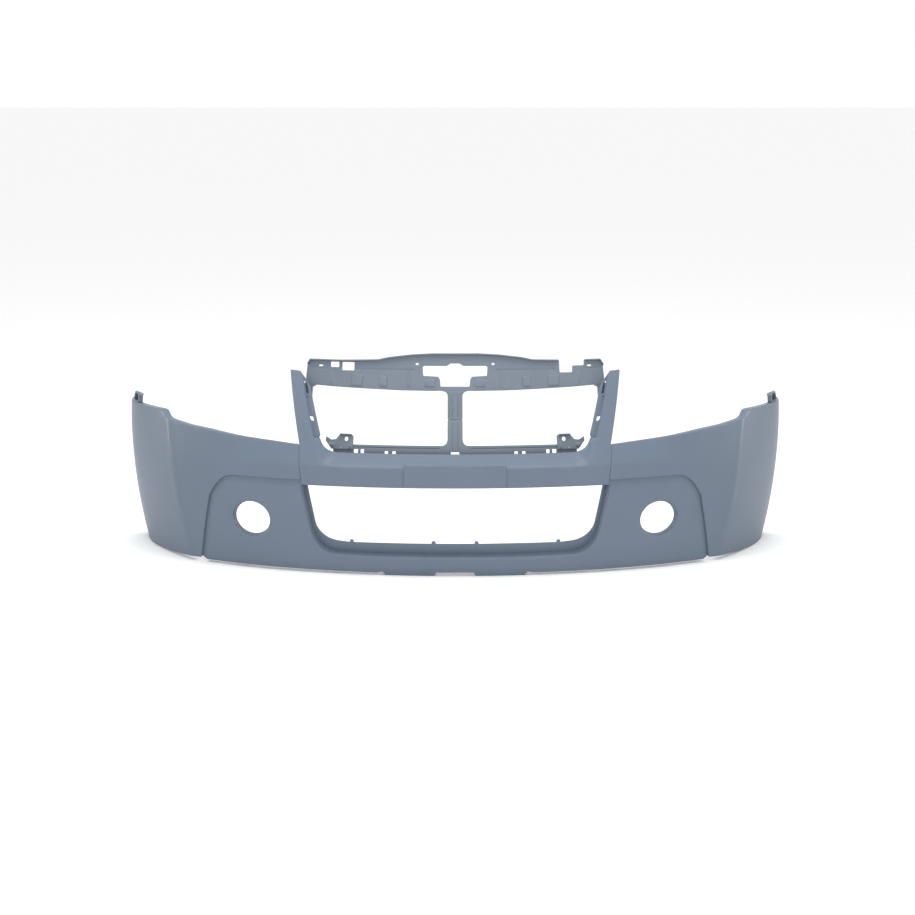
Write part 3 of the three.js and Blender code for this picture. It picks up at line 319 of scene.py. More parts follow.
def plastic(name, light, dark, roughness, grain_mm, grain_height, patch_mm=180):
    """Moulded plastic under primer: cloudy colour, an orange-peel skin and fine dust in its gloss."""
    look = bpy.data.materials.new(name)
    look.use_nodes = True
    tree = look.node_tree
    shader = tree.nodes["Principled BSDF"]
    place = add_node(tree, "ShaderNodeTexCoord").outputs["Object"]
    clouds = add_node(tree, "ShaderNodeTexNoise", [("Vector", place)], Scale=1000 / patch_mm, Detail=3.0)
    specks = add_node(tree, "ShaderNodeTexNoise", [("Vector", place)], Scale=1000 / 2.2, Detail=2.0)
    both = add_node(tree, "ShaderNodeMix", [("Factor", clouds.outputs["Fac"])], data_type="RGBA")
    both.inputs["A"].default_value = linear(dark)
    both.inputs["B"].default_value = linear(light)
    tree.links.new(both.outputs["Result"], shader.inputs["Base Color"])
    gloss = add_node(tree, "ShaderNodeMapRange", [("Value", specks.outputs["Fac"])])
    gloss.inputs["From Min"].default_value = 0.3
    gloss.inputs["From Max"].default_value = 0.7
    gloss.inputs["To Min"].default_value = roughness - 0.03
    gloss.inputs["To Max"].default_value = roughness + 0.05
    tree.links.new(gloss.outputs["Result"], shader.inputs["Roughness"])
    peel = add_node(tree, "ShaderNodeTexNoise", [("Vector", place)], Scale=1000 / grain_mm, Detail=1.5)
    skin = [("Height", peel.outputs["Fac"])]
    bump = add_node(tree, "ShaderNodeBump", skin, Strength=0.35, Distance=grain_height)
    tree.links.new(bump.outputs["Normal"], shader.inputs["Normal"])
    shader.inputs["IOR"].default_value = 1.49
    shader.inputs["Specular IOR Level"].default_value = 0.2
    return look


# Polypropylene with a sprayed blue-grey primer, ready for paint: an even satin sheen over faint orange peel.
PRIMER = plastic("primed_polypropylene", "#66717f", "#5f6a79", 0.38, 3.0, 0.00008)

POD_TOP_Z, SEAM_S, SEAM_SLANT, SEAM_GAP = 243, 385, 0.112, 0.6
WING_TOP_Z, WING_SHOULDER_Z, WING_REAR_Z, WING_TIP_Z, WING_FOOT_Z = 330, 369, 389, 376, 12
WING_DIP_S = 800
ARCH_S, ARCH_Z, ARCH_RADIUS = 1072, 185, 560
POD_CORNER_S, POD_SHOULDER_Z, POD_SHOULDER_S, POD_FOOT_S = 570, 184, 643, 688
LAP, LAP_GAP, POD_STEP, HEM = 16, 0.8, 7, 20
POD_SLANT = (POD_SHOULDER_S - POD_FOOT_S) / (POD_SHOULDER_Z - WING_FOOT_Z)
SIDES = (("left", -1), ("right", 1))


def seam_s(z):
    return SEAM_S + SEAM_SLANT * (z - POD_TOP_Z)


def pod_side_s(z):
    return POD_FOOT_S + POD_SLANT * (z - WING_FOOT_Z)


def arch_s(z):
    return ARCH_S + ARCH_RADIUS - math.sqrt(ARCH_RADIUS**2 - (z - ARCH_Z) ** 2)


def wing_top_z(s):
    """Height of the wing's top edge behind its shoulder, where it falls evenly to the tip."""
    start, end = WING_DIP_S + 13, arch_s(WING_TIP_Z)
    return WING_REAR_Z - (WING_REAR_Z - WING_TIP_Z) * (s - start) / (end - start)


def turned(a, c, b, count=8):
    """Points of a round corner from a to b, drawn towards the corner point c."""
    a, b, c = map(np.array, (a, b, c))
    return [tuple((1 - k) ** 2 * a + 2 * k * (1 - k) * c + k**2 * b) for k in np.linspace(0, 1, count + 1)]


def pod_edge(start, out=0):
    """Edge between a wing and the pod under it, from the seam to the foot. out moves it under the wing."""
    top = POD_TOP_Z + out
    shoulder = (POD_SHOULDER_S + out, POD_SHOULDER_Z)
    corner = turned((POD_CORNER_S, top), (pod_side_s(top) - 18 + out, top), shoulder, 10)
    return [(start, top)] + corner + [(pod_side_s(WING_FOOT_Z) + out, WING_FOOT_Z)]


def flipped(points, side):
    return [(side * s, z) for s, z in points]


def wing_outline():
    start = seam_s(POD_TOP_Z) + SEAM_GAP
    top = [(495, WING_TOP_Z + 8), (567, WING_TOP_Z + 15), (641, WING_TOP_Z + 24), (705, WING_SHOULDER_Z - 9)]
    dip_start, dip_bend, dip_end = WING_DIP_S - 44, WING_DIP_S - 20, WING_DIP_S - 12
    low, top_z = WING_SHOULDER_Z, WING_REAR_Z
    dip = turned((dip_start, low - 1), (dip_bend, low + 4), (dip_end, low + 10))
    rise = turned((WING_DIP_S - 8, low + 14), (WING_DIP_S - 4, top_z), (WING_DIP_S + 13, top_z))
    arch = [(arch_s(z) - 1, z) for z in np.linspace(WING_TIP_Z, 40, 14)]
    heel = turned((arch_s(30) - 1.6, 30), (arch_s(0) - 6, 0), (arch_s(0) - 40, 0))
    head = [(start, POD_TOP_Z), (seam_s(WING_TOP_Z) + SEAM_GAP, WING_TOP_Z)]
    return head + top + dip + rise + arch + heel + [(940, 0)] + pod_edge(start)[1:][::-1]


def near_pod(s, z):
    """1 along the joint between wing and pod, where the edge only steps down, and 0 elsewhere."""
    s = np.abs(s)
    side = pod_side_s(z) + LAP + 4
    return ((z < POD_TOP_Z + LAP + 4) & (s < side) & (s < 722)).astype(float)


def wing_hem(s, z):
    return HEM + (POD_STEP - LAP_GAP - HEM) * near_pod(s, z)


CORNER_ROWS = [
    [(CORNER_S + CORNER_SLANT * z + d, z) for z in np.linspace(2, 386, 40)]
    for d in (-20, -14, -8, -2, 4, 10, 16, 22)
]


def wing_relief(s, z):
    """A soft crease runs down the corner of the wing and dies out above its foot."""
    beside = np.abs(s) - CORNER_S - CORNER_SLANT * z
    return 2.2 * np.exp(-((beside / 11) ** 2)) * smooth((z - 60) / 160) * smooth((386 - z) / 14)


def wing_edge(s, z):
    at_seam = 1 - smooth((np.abs(s) - seam_s(z) - 4) / 10)
    upper = smooth((z - 316) / 12)
    return (1.8 + 3.0 * upper) * (1 - at_seam) + 1.0 * at_seam


for label, side in SIDES:
    shell = moulding(
        flipped(wing_outline(), side),
        rows=[flipped(row, side) for row in CORNER_ROWS],
        relief=wing_relief,
        hem=wing_hem,
        edge=wing_edge,
        corner=5,
        spacing=8,
    )
    piece("wing_skin_" + label, [shell], body_back, PRIMER, "primed_plastic", "wing_" + label)


# Centre fascia: the cross bar over the lower air intake and the two pillars beside the grille, one moulding
# of the same primed polypropylene. Its flanges turn in at the wings and under the bar, where screws hold it.

BAR_FOOT_Z = 230
SEAM_FLANGE, BAR_FOOT_FLANGE = 18, 22
PILLAR_TOP_Z, PILLAR_TOP_DROP, PILLAR_STEP, PILLAR_FOOT_Z = 502, 34, 12, 345
SINK_RUN = 3.5  # the step into a pillar's sunk border takes this much of its width


def pillar_outer_s(z):
    return seam_s(WING_TOP_Z) + 0.31 * (z - WING_TOP_Z)


def pillar_inner_s(z):
    return 335 + 0.385 * (z - WING_TOP_Z)


def pillar_crease_s(z):
    return 354 + 0.358 * (z - WING_TOP_Z)


def mirrored(points):
    return list(points) + [(-s, z) for s, z in points][::-1]


def fascia_relief(s, z):
    across = smooth((pillar_crease_s(z) - np.abs(s)) / SINK_RUN)
    return -PILLAR_STEP * across * smooth((z - PILLAR_FOOT_Z) / SINK_RUN)


def fascia_hem(s, z):
    outer = np.abs(s) > np.where(z < WING_TOP_Z, seam_s(z), pillar_outer_s(z)) - 8
    foot = (z < BAR_FOOT_Z + 4) & (np.abs(s) < 362)
    return WALL + (SEAM_FLANGE - WALL) * (outer & (z > 262)) + (BAR_FOOT_FLANGE - WALL) * foot


def fascia_edge(s, z):
    return np.where(z < BAR_FOOT_Z + 4, 2.4, 1.2)


top_in = PILLAR_TOP_Z - PILLAR_TOP_DROP
fascia_outline = mirrored(
    [
        (seam_s(BAR_FOOT_Z), BAR_FOOT_Z),
        (seam_s(WING_TOP_Z), WING_TOP_Z),
        (pillar_outer_s(PILLAR_TOP_Z), PILLAR_TOP_Z),
        (pillar_crease_s(PILLAR_TOP_Z) + 3, PILLAR_TOP_Z - 2),
        (pillar_crease_s(PILLAR_TOP_Z - 14) - 4, PILLAR_TOP_Z - 14),
        (pillar_inner_s(top_in), top_in),
        (pillar_inner_s(350), 350),
    ]
    + turned((pillar_inner_s(344), 344), (pillar_inner_s(BAR_TOP_Z) + 3, BAR_TOP_Z), (298, BAR_TOP_Z))
)
bar_rows = [[(-460, BAR_CREASE_Z + d), (460, BAR_CREASE_Z + d)] for d in (-3.5, -1.8, 0, 1.8, 3.5)]
step_rows = [
    flipped([(pillar_crease_s(z) - d, z) for z in (PILLAR_FOOT_Z + d, 500)], side)
    for _, side in SIDES
    for d in (0, 1.1, 2.4, 3.5)
]
step_feet = [
    flipped([(pillar_crease_s(PILLAR_FOOT_Z + d) - run, PILLAR_FOOT_Z + d) for run in (50, d)], side)
    for _, side in SIDES
    for d in (0, 1.1, 2.4, 3.5)
]
# Slot for a grille clip near the foot of each sunk border, and the long slit that shows light near its top
slit = ((9, 452), (9, 476), (13, 479), (13, 452))
clip_slot = ((9, 388), (9, 398), (15, 398), (15, 388))
pillar_slots = [
    flipped([(pillar_inner_s(z) + a, z) for a, z in corners], side)
    for corners in (slit, clip_slot)
    for _, side in SIDES
]
fascia_shell = moulding(
    fascia_outline,
    holes=pillar_slots,
    rows=bar_rows + step_rows + step_feet,
    relief=fascia_relief,
    hem=fascia_hem,
    edge=fascia_edge,
    corner=3,
    spacing=7,
)


def slab(s0, s1, z0, z1, t0, t1, bevel=0.6, spacing=8.0):
    """Flat block with bevelled edges, divided along s and z so that it bends with the body."""
    ends = [(s0, s1), (z0, z1), (t0, t1)]
    axes = []
    for low, high in ends:
        bevel = min(bevel, (high - low) * 0.3)
        parts = max(1, int((high - low - 2 * bevel) / spacing + 0.5))
        axes.append([low] + list(np.linspace(low + bevel, high - bevel, parts + 1)) + [high])
    sizes = [len(a) for a in axes]
    index, points = {}, []
    for i, a in enumerate(axes[0]):
        for j, b in enumerate(axes[1]):
            for k, c in enumerate(axes[2]):
                sides = (i in (0, sizes[0] - 1)) + (j in (0, sizes[1] - 1)) + (k in (0, sizes[2] - 1))
                if sides != 1:
                    continue
                index[i, j, k] = len(points)
                points.append((a, b, c))
    faces = []
    last = [n - 1 for n in sizes]
    for axis in range(3):
        u, v = [x for x in range(3) if x != axis]
        for end in (0, last[axis]):
            for i in range(1, last[u] - 1):
                for j in range(1, last[v] - 1):
                    quad = []
                    for di, dj in ((0, 0), (1, 0), (1, 1), (0, 1)):
                        key = [0, 0, 0]
                        key[axis], key[u], key[v] = end, i + di, j + dj
                        quad.append(index[tuple(key)])
                    faces.append(tuple(quad))
    # Bevels between two sides, and a small triangle at each of the eight corners
    for axis in range(3):
        u, v = [x for x in range(3) if x != axis]
        for eu, nu in ((0, 1), (last[u], last[u] - 1)):
            for ev, nv in ((0, 1), (last[v], last[v] - 1)):
                for i in range(1, last[axis] - 1):
                    quad = []
                    for step, (a, b) in ((0, (eu, nv)), (1, (eu, nv)), (1, (nu, ev)), (0, (nu, ev))):
                        key = [0, 0, 0]
                        key[axis], key[u], key[v] = i + step, a, b
                        quad.append(index[tuple(key)])
                    faces.append(tuple(quad))
    for i in (0, 1):
        for j in (0, 1):
            for k in (0, 1):
                out = [last[0] * i, last[1] * j, last[2] * k]
                near = [last[0] - 1 if i else 1, last[1] - 1 if j else 1, last[2] - 1 if k else 1]
                corners = []
                for axis in range(3):
                    key = list(near)
                    key[axis] = out[axis]
                    corners.append(index[tuple(key)])
                faces.append(tuple(corners))
    return np.array(points), faces


piece("cross_bar_and_pillars", [fascia_shell], body_back, PRIMER, "primed_plastic", "centre_fascia")


# Ears behind the pillars: plates with two webs, where push retainers hold the legs of the header panel.


def frame_back(s, z):
    lap = HEADER_BACK - HEADER_LEAN * (HEADER_FOOT_Z - STRUT_LAP_Z)
    middle = RAIL_BACK + (lap - RAIL_BACK) * (z - RAIL_FOOT_Z) / (STRUT_LAP_Z - RAIL_FOOT_Z)
    upper = lap + HEADER_LEAN * (z - STRUT_LAP_Z)
    return np.where(z >= STRUT_LAP_Z, upper, np.where(z <= RAIL_FOOT_Z, RAIL_BACK, middle))


HEADER_FOOT_Z, HEADER_BACK, HEADER_LEAN = 456, 120, 0.25
RAIL_BACK, RAIL_FOOT_Z, STRUT_LAP_Z = 75, 305, 384
EAR_FROM, EAR_TO, EAR_FOOT = 391, 415, 430
CLIP_PLACES = [(403, 440), (403, 457)]
CLIP_HOLE = 4.6


def ring(s, z, radius, height=None, count=24):
    """A round or oval outline."""
    turn = np.linspace(0, 2 * math.pi, count, endpoint=False)
    return np.stack([s + radius * np.cos(turn), z + (height or radius) * np.sin(turn)], axis=1)


for label, side in SIDES:
    plate = moulding(
        flipped([(EAR_FROM, EAR_FOOT), (EAR_TO, EAR_FOOT), (EAR_TO, 466), (EAR_FROM, 466)], side),
        holes=[ring(side * s, z, CLIP_HOLE) for s, z in CLIP_PLACES],
        relief=0.8 + 3,
        wall=3,
        edge=0.6,
        corner=2,
        spacing=5,
    )
    web_s = sorted((side * (EAR_TO - 2.6), side * EAR_TO))
    webs = [
        slab(*web_s, EAR_FOOT, 464, 2, 60),
        slab(*sorted((side * EAR_FROM, side * EAR_TO)), EAR_FOOT, EAR_FOOT + 2.6, 2, 60),
    ]
    # Each web ends inside the pillar's wall, which slants away from the ear.
    for points, _ in webs:
        s, z = points[:, 0], points[:, 1]
        room = frame_back(s, z) - body_back(s, z) + fascia_relief(s, z) - 4.4
        points[:, 2] = np.where(points[:, 2] > 30, room, points[:, 2])
    piece("pillar_ear_" + label, [plate] + webs, frame_back, PRIMER, "primed_plastic")


# Lower valance: the fog lamp pods, the lip under the air intake and the seat of its grille, one moulding
# that laps 16 mm behind the wings and the bar and stands 7 mm back from them. Its lower edge rests on two
# low tabs.

MOUTH_TOP_S, MOUTH_SIDE_SLANT, MOUTH_FOOT_Z, MOUTH_CORNER_Z, MOUTH_CORNER_S = 390, 0.18, 47, 120, 304
TONGUE_S, FOOT_Z, FOOT_HEM = 366, 5, 20
SEAT_DEPTH, SEAT_FOOT, SEAT_SIDE = 24, 26, 10
TAB_FROM, TAB_TO, TAB_FOOT_Z, TAB_MIDDLE_Z = 53, 177, -0.9, 8
FOG_S, FOG_Z, FOG_WIDTH, FOG_HEIGHT, FOG_TUBE = 528, 131, 52, 46, 10
POD_FILL, POD_COVE = 2.4, 18


def mouth(inwards=0.0, up=0.0):
    """Right half of the intake's edge, from its top down to the middle."""

    def side_s(z):
        return MOUTH_TOP_S - inwards - MOUTH_SIDE_SLANT * (BAR_FOOT_Z - z)

    foot = MOUTH_FOOT_Z + up
    low = MOUTH_CORNER_Z + up * 0.3
    top = BAR_FOOT_Z - 2
    turn_end = (MOUTH_CORNER_S - inwards, foot + 4)
    bend = turned((side_s(low) - 3, low - 12), (350 - inwards, foot + 6), turn_end, 12)
    return [(side_s(top), top), (side_s(low), low)] + bend + [(200, foot + 2)]


def near_mouth(s, z):
    """1 along the intake's edge, 0 elsewhere."""
    side_s = MOUTH_TOP_S - MOUTH_SIDE_SLANT * (BAR_FOOT_Z - z) + 3
    return ((np.abs(s) < side_s) & (z > 30) & (z < BAR_FOOT_Z - 1)).astype(float)


def valance_edge(s, z):
    oval = np.hypot((np.abs(s) - FOG_S) / FOG_WIDTH, (z - FOG_Z) / FOG_HEIGHT)
    return 1.4 + 2.9 * near_mouth(s, z) + np.where(oval < 1.1, 2.2, 0) * (1 - near_mouth(s, z))


def valance_hem(s, z):
    foot = (z < 16) & (np.abs(s) < POD_FOOT_S - 12)
    return WALL + (SEAT_DEPTH + WALL) * near_mouth(s, z) + (FOOT_HEM - WALL) * foot


POD_LINE = rounded(pod_edge(SEAM_S) + [(940, WING_FOOT_Z), (940, 400), (SEAM_S, 400)], 4, 4)
POD_LINE = POD_LINE[(POD_LINE[:, 0] < POD_FOOT_S + 1) & (POD_LINE[:, 1] < POD_TOP_Z + 1)]


def valance_relief(s, z):
    """The pods fill out over a cove beside the joint with the wings, and dish round the lamp holes."""
    here = np.stack([np.abs(s), z], axis=1)
    groups = [here[i : i + 2000] for i in range(0, len(here), 2000)]
    away = np.concatenate([np.linalg.norm(g[:, None] - POD_LINE[None], axis=2).min(axis=1) for g in groups])
    below = (z < POD_TOP_Z) & (np.abs(s) < pod_side_s(z))
    oval = np.hypot((np.abs(s) - FOG_S) / (FOG_WIDTH + 14), (z - FOG_Z) / (FOG_HEIGHT + 14))
    filled = POD_FILL * smooth((away - 3) / POD_COVE) * below * smooth((z - FOOT_Z) / 10)
    return -POD_STEP + filled - 2.6 * (1 - smooth((oval - 0.74) / 0.26))


rest = [
    (TAB_FROM - 6, TAB_MIDDLE_Z),
    (TAB_FROM, TAB_FOOT_Z),
    (TAB_TO, TAB_FOOT_Z),
    (TAB_TO + 8, TAB_MIDDLE_Z),
    (TAB_TO + 22, FOOT_Z),
]
half_valance = (
    rest
    + [(pod_side_s(WING_FOOT_Z) - 12, FOOT_Z), (pod_side_s(WING_FOOT_Z) + 1, WING_FOOT_Z + 2)]
    + [(pod_side_s(WING_FOOT_Z) + LAP, WING_FOOT_Z + 8)]
    + pod_edge(TONGUE_S, LAP)[:-1][::-1]
    + [(TONGUE_S, BAR_FOOT_Z + 3)]
    + mouth()
)
fog_rows = [
    ring(side * FOG_S, FOG_Z, FOG_WIDTH + d, FOG_HEIGHT + d, 60) for _, side in SIDES for d in (5, 8, 12, 16)
]
valance_shell = moulding(
    mirrored(half_valance),
    holes=[ring(side * FOG_S, FOG_Z, FOG_WIDTH, FOG_HEIGHT, 72) for _, side in SIDES],
    rows=[list(row) + [row[0]] for row in fog_rows],
    relief=valance_relief,
    hem=valance_hem,
    edge=valance_edge,
    corner=3,
    spacing=7,
)
# The seat runs round the mouth behind its edge; small nubs on its lower rim locate the grille insert.
inner = mouth(SEAT_SIDE, SEAT_FOOT)[:-1]
nub = ((5, 2), (4.4, 9), (-4.4, 9), (-5, 2))
nubs = [(s + d, MOUTH_FOOT_Z + SEAT_FOOT + h) for s in (267, 55) for d, h in nub]
outer = [(s + 1.6, z) for s, z in mouth()[:2]] + [(s + 1.2, z - 1.4) for s, z in mouth()[2:]]
right_seat = outer + [(-s, z) for s, z in outer][::-1]
back_way = mirrored(inner + nubs)
seat_shell = moulding(
    right_seat + back_way[::-1],
    relief=-POD_STEP - SEAT_DEPTH,
    edge=0.8,
    corner=2.5,
    spacing=7,
)
piece("lower_valance_skin", [valance_shell, seat_shell], body_back, PRIMER, "primed_plastic", "lower_valance")


# Fog lamp rings: short oval tubes behind the pods with a seat for the lamp and three ears screwed to bosses.

EAR_T = -POD_STEP - 3 - 6 - LAP_GAP
FOG_SCREWS = [
    (FOG_S + (FOG_WIDTH + 15) * math.cos(a), FOG_Z + (FOG_HEIGHT + 15) * math.sin(a))
    for a in map(math.radians, (35, 150, 265))
]


def tube_shell(s, z, width, height, profile, count=72):
    """Oval tube swept round (s, z): profile lists (distance out from the oval, t)."""
    turn = np.linspace(0, 2 * math.pi, count, endpoint=False)
    points = []
    for out, t in profile:
        across, up = s + (width + out) * np.cos(turn), z + (height + out) * np.sin(turn)
        points.append(np.stack([across, up, np.full(count, t)], axis=1))
    faces = []
    for i in range(len(profile)):
        j = (i + 1) % len(profile)
        for k in range(count):
            m = (k + 1) % count
            faces.append((i * count + k, i * count + m, j * count + m, j * count + k))
    return np.concatenate(points), faces


front_t = -POD_STEP - 3 - LAP_GAP
back_t = front_t - FOG_TUBE
ring_profile = [
    (1.0, front_t - 0.8),
    (0.6, front_t - 0.2),
    (0, front_t),
    (-1.2, front_t - 0.2),
    (-1.8, front_t - 0.9),
    (-1.9, back_t + 3.4),
    (-2.2, back_t + 2.9),
    (-2.6, back_t + 2.6),
    (-2.9, back_t + 2),
    (-2.9, back_t + 0.6),
    (-2.3, back_t),
    (0.2, back_t),
    (1.0, back_t + 0.8),
]
for label, side in SIDES:
    shells = [tube_shell(side * FOG_S, FOG_Z, FOG_WIDTH, FOG_HEIGHT, ring_profile)]
    for s, z in FOG_SCREWS:
        away = math.atan2(FOG_Z - z, FOG_S - s)
        tip = away + np.radians(range(80, 281, 20))
        foot = away + np.radians((-70, 70))
        root = (s + 11 * math.cos(away), z + 11 * math.sin(away))
        lug = [(s + 7 * math.cos(a), z + 7 * math.sin(a)) for a in tip]
        lug += [(root[0] + 10 * math.cos(a), root[1] + 10 * math.sin(a)) for a in foot]
        shells.append(
            moulding(
                flipped(lug, side),
                holes=[ring(side * s, z, 2.7, count=16)],
                relief=EAR_T,
                wall=2.8,
                edge=0.6,
                corner=1,
                spacing=4,
            )
        )
    piece("fog_lamp_seat_" + label, shells, body_back, PRIMER, "frame_plastic", "fog_lamp_ring_" + label)


# Header panel: the band over the grille that screws to the radiator support, with a leg at each end and the
# upper half of the strut. Unpainted grey polypropylene, ribbed and boxed where the mould allows; its top
# edge leans forward.

FRAME_GREY = plastic("grey_polypropylene", "#6f7883", "#68717c", 0.46, 2.2, 0.00006, 120)

HEADER_TOP_Z, HEADER_END_Z, HEADER_END_S, HEADER_LIP = 545, 525, 408, 8
STRUT_HALF, STRUT_FLANGE, STRUT_LAP, HEADER_FLANGE = 20, 13, 22, 14

header_top = [
    (HEADER_END_S + 3, 511),
    (HEADER_END_S - 6, HEADER_END_Z),
    (312, HEADER_END_Z),
    (210, HEADER_END_Z + 3),
    (180, HEADER_END_Z + 9),
    (118, HEADER_TOP_Z - 4),
    (62, HEADER_TOP_Z - 1),
]
header_outline = mirrored(
    [(STRUT_HALF, STRUT_LAP_Z), (STRUT_HALF, HEADER_FOOT_Z - 16)]
    + turned(
        (STRUT_HALF, HEADER_FOOT_Z - 14), (STRUT_HALF + 1, HEADER_FOOT_Z - 2), (45, HEADER_FOOT_Z - 2), 8
    )
    + [(151, HEADER_FOOT_Z - 1), (319, HEADER_FOOT_Z + 4), (EAR_FROM - 6, HEADER_FOOT_Z + 7)]
    + [(EAR_FROM, HEADER_FOOT_Z), (EAR_FROM, EAR_FOOT), (EAR_TO, EAR_FOOT), (HEADER_END_S + 5, 472)]
    + header_top
)
# A wide notch for a lamp bracket interrupts the top edge on the right-hand side.
notch = [(356, HEADER_END_Z), (356, 511), (322, 511), (322, 495), (286, 495), (286, HEADER_END_Z + 0.8)]
place = header_outline.index((312, HEADER_END_Z))
header_outline[place : place + 1] = notch


def boxed(s, z, s0, s1, z0, z1, run=3.0):
    """1 on a raised box, fading over run at its sides."""
    across = smooth((s - s0) / run) * smooth((s1 - s) / run)
    return across * smooth((z - z0) / run) * smooth((z1 - z) / run)


HEADER_BOXES = [
    (250, 284, 462, 491, 3.0),
    (258, 276, 474, 500, 2.0),
    (182, 205, 461, 489, 3.0),
    (120, 128, 460, 512, 2.0),
    (333, 341, 464, 500, 2.0),
    (54, 84, 462, 482, 2.5),
]


def header_relief(s, z):
    a = np.abs(s)
    level = np.zeros_like(s)
    for s0, s1, z0, z1, height in HEADER_BOXES:
        level = np.maximum(level, height * boxed(a, z, s0, s1, z0, z1))
    groove = 1.2 * boxed(a, z, 110, 400, 502, 506, 1.6) * (1 - boxed(a, z, 275, 360, 490, 530))
    rib = 1.6 * boxed(a, z, 5.5, 9.5, STRUT_LAP_Z + 8, 452, 1.6)
    spine = 1.2 * boxed(a, z, 14.5, 17.5, STRUT_LAP_Z + 4, 446, 1.4)
    return level + rib + spine - groove


def header_hem(s, z):
    a = np.abs(s)
    foot = (z < 470) & (a > 46) & (a < EAR_FROM - 4)
    leg = (a < STRUT_HALF + 2) & (z < HEADER_FOOT_Z)
    return WALL + (HEADER_FLANGE - WALL) * foot + (STRUT_FLANGE - WALL) * leg


latch = mirrored([(39, 464), (41, 482), (46, 488), (86, 490), (88, 511), (84, 514), (23, 514), (12, 520)])


def box_outline(s0, s1, z0, z1):
    return [(s0, z0), (s1, z0), (s1, z1), (s0, z1)]


header_holes = [latch, box_outline(-343, -319, 507, 520), box_outline(-310, -276, 500, 520)]
for _, side in SIDES:
    header_holes.append(box_outline(*sorted((side * 365, side * 377)), 508, 512))
    header_holes.append(box_outline(*sorted((side * 99, side * 107)), 516, 521))
    header_holes += [ring(side * s, z, CLIP_HOLE) for s, z in CLIP_PLACES]
header_rows = []
for _, side in SIDES:
    for s0, s1, z0, z1, _ in HEADER_BOXES:
        for d in (0, 1.5, 3):
            box = box_outline(s0 + d, s1 - d, z0 + d, z1 - d)
            header_rows.append(flipped(box + box[:1], side))
    for a in (5.5, 7, 8, 9.5, 14.5, 16, 17.5):
        header_rows.append([(side * a, STRUT_LAP_Z + 4), (side * a, 452)])
    for z in (502, 503.6, 504.4, 506):
        header_rows.append([(side * 108, z), (side * 402, z)])
header_shell = moulding(
    header_outline,
    holes=header_holes,
    rows=header_rows,
    relief=header_relief,
    hem=header_hem,
    edge=1.0,
    corner=4,
    spacing=6,
)
# The forward lip along the top, one strip on each side of the notch
lip_shells = []
top_line = header_top + [(-s, z) for s, z in header_top][::-1]
whole = np.array(top_line, float)
lengths = np.concatenate([[0], np.cumsum(np.linalg.norm(np.diff(whole, axis=0), axis=1))])
fine = np.arange(0, lengths[-1], 4)
line = np.stack([np.interp(fine, lengths, whole[:, i]) for i in range(2)], axis=1)
for part in (line[line[:, 0] > 358], line[line[:, 0] < 284]):
    lower = part - [0, 3.2]
    strip = np.concatenate([part, lower[::-1]])
    lip_wall = HEADER_LIP + 1.4
    lip_shells.append(moulding(strip, relief=HEADER_LIP, wall=lip_wall, edge=0.9, corner=0.5, spacing=4))
piece("header_band", [header_shell] + lip_shells, frame_back, FRAME_GREY, "frame_plastic", "header_panel")


# Grille rail: a slotted upright band behind the bar with a shelf that runs forward under it, four screw tabs
# and the lower half of the strut, whose tongue lies behind the upper half. Same grey polypropylene.

RAIL_SHELF_Z, RAIL_TOP_Z, RAIL_END_S, RAIL_TAB_Z = 276, 322, 322, 242
RAIL_TAB_T = RAIL_BACK - 3 - 6 - LAP_GAP
RAIL_SCREWS = [(s, 258) for s in (-262, -150, 150, 262)]
TONGUE_T = -7.3

rail_outline = mirrored(
    [(RAIL_END_S, RAIL_SHELF_Z), (RAIL_END_S, RAIL_TOP_Z), (50, RAIL_TOP_Z)]
    + turned((36, RAIL_TOP_Z), (STRUT_HALF + 2, RAIL_TOP_Z), (STRUT_HALF, RAIL_TOP_Z + 14), 8)
    + [(STRUT_HALF, STRUT_LAP_Z - 0.3)]
)


def rail_hem(s, z):
    a = np.abs(s)
    return WALL + (14 - WALL) * ((z > RAIL_TOP_Z - 4) & (a > STRUT_HALF - 2) & (z < STRUT_LAP_Z - 2))


def rail_relief(s, z):
    a = np.abs(s)
    rib = 1.6 * boxed(a, z, 5.5, 9.5, 312, STRUT_LAP_Z - 4, 1.6)
    spine = 1.2 * boxed(a, z, 14.5, 17.5, RAIL_TOP_Z + 8, STRUT_LAP_Z - 2, 1.4)
    return rib + spine - 1.5 * boxed(a, z, 40, 310, RAIL_TOP_Z - 9, RAIL_TOP_Z - 5, 1.6)


slots = [(239, 248, 301, 311), (255, 266, 301, 311), (155, 164, 299, 308), (175, 184, 299, 308)]
rail_holes = [box_outline(*sorted((side * a, side * b)), c, d) for a, b, c, d in slots for _, side in SIDES]
rail_holes.append(box_outline(-11, 11, 299, 307))
rail_rows = [[(side * a, 312), (side * a, STRUT_LAP_Z - 3)] for a in (5.5, 7, 8, 9.5) for _, side in SIDES]
rail_rows += [[(side * 38, z), (side * 312, z)] for z in (313, 314.6, 315.4, 317) for _, side in SIDES]
rail_shell = moulding(
    rail_outline, holes=rail_holes, rows=rail_rows, relief=rail_relief, hem=rail_hem, spacing=6
)

tongue = slab(-15, 15, STRUT_LAP_Z - 20, STRUT_LAP_Z + STRUT_LAP, TONGUE_T - 2.8, TONGUE_T)
shelf_slab = slab(-RAIL_END_S, RAIL_END_S, RAIL_SHELF_Z, RAIL_SHELF_Z + 2.8, -2.6, RAIL_TAB_T)
tab_shells = [
    moulding(
        box_outline(s - 16, s + 16, RAIL_TAB_Z, RAIL_SHELF_Z + 2),
        holes=[ring(s, z, 2.7, count=16)],
        relief=RAIL_TAB_T,
        wall=2.8,
        edge=0.6,
        corner=3,
        spacing=6,
    )
    for s, z in RAIL_SCREWS
]
piece(
    "rail_and_lower_strut",
    [rail_shell, shelf_slab, tongue] + tab_shells,
    frame_back,
    FRAME_GREY,
    "frame_plastic",
    "grille_rail",
)


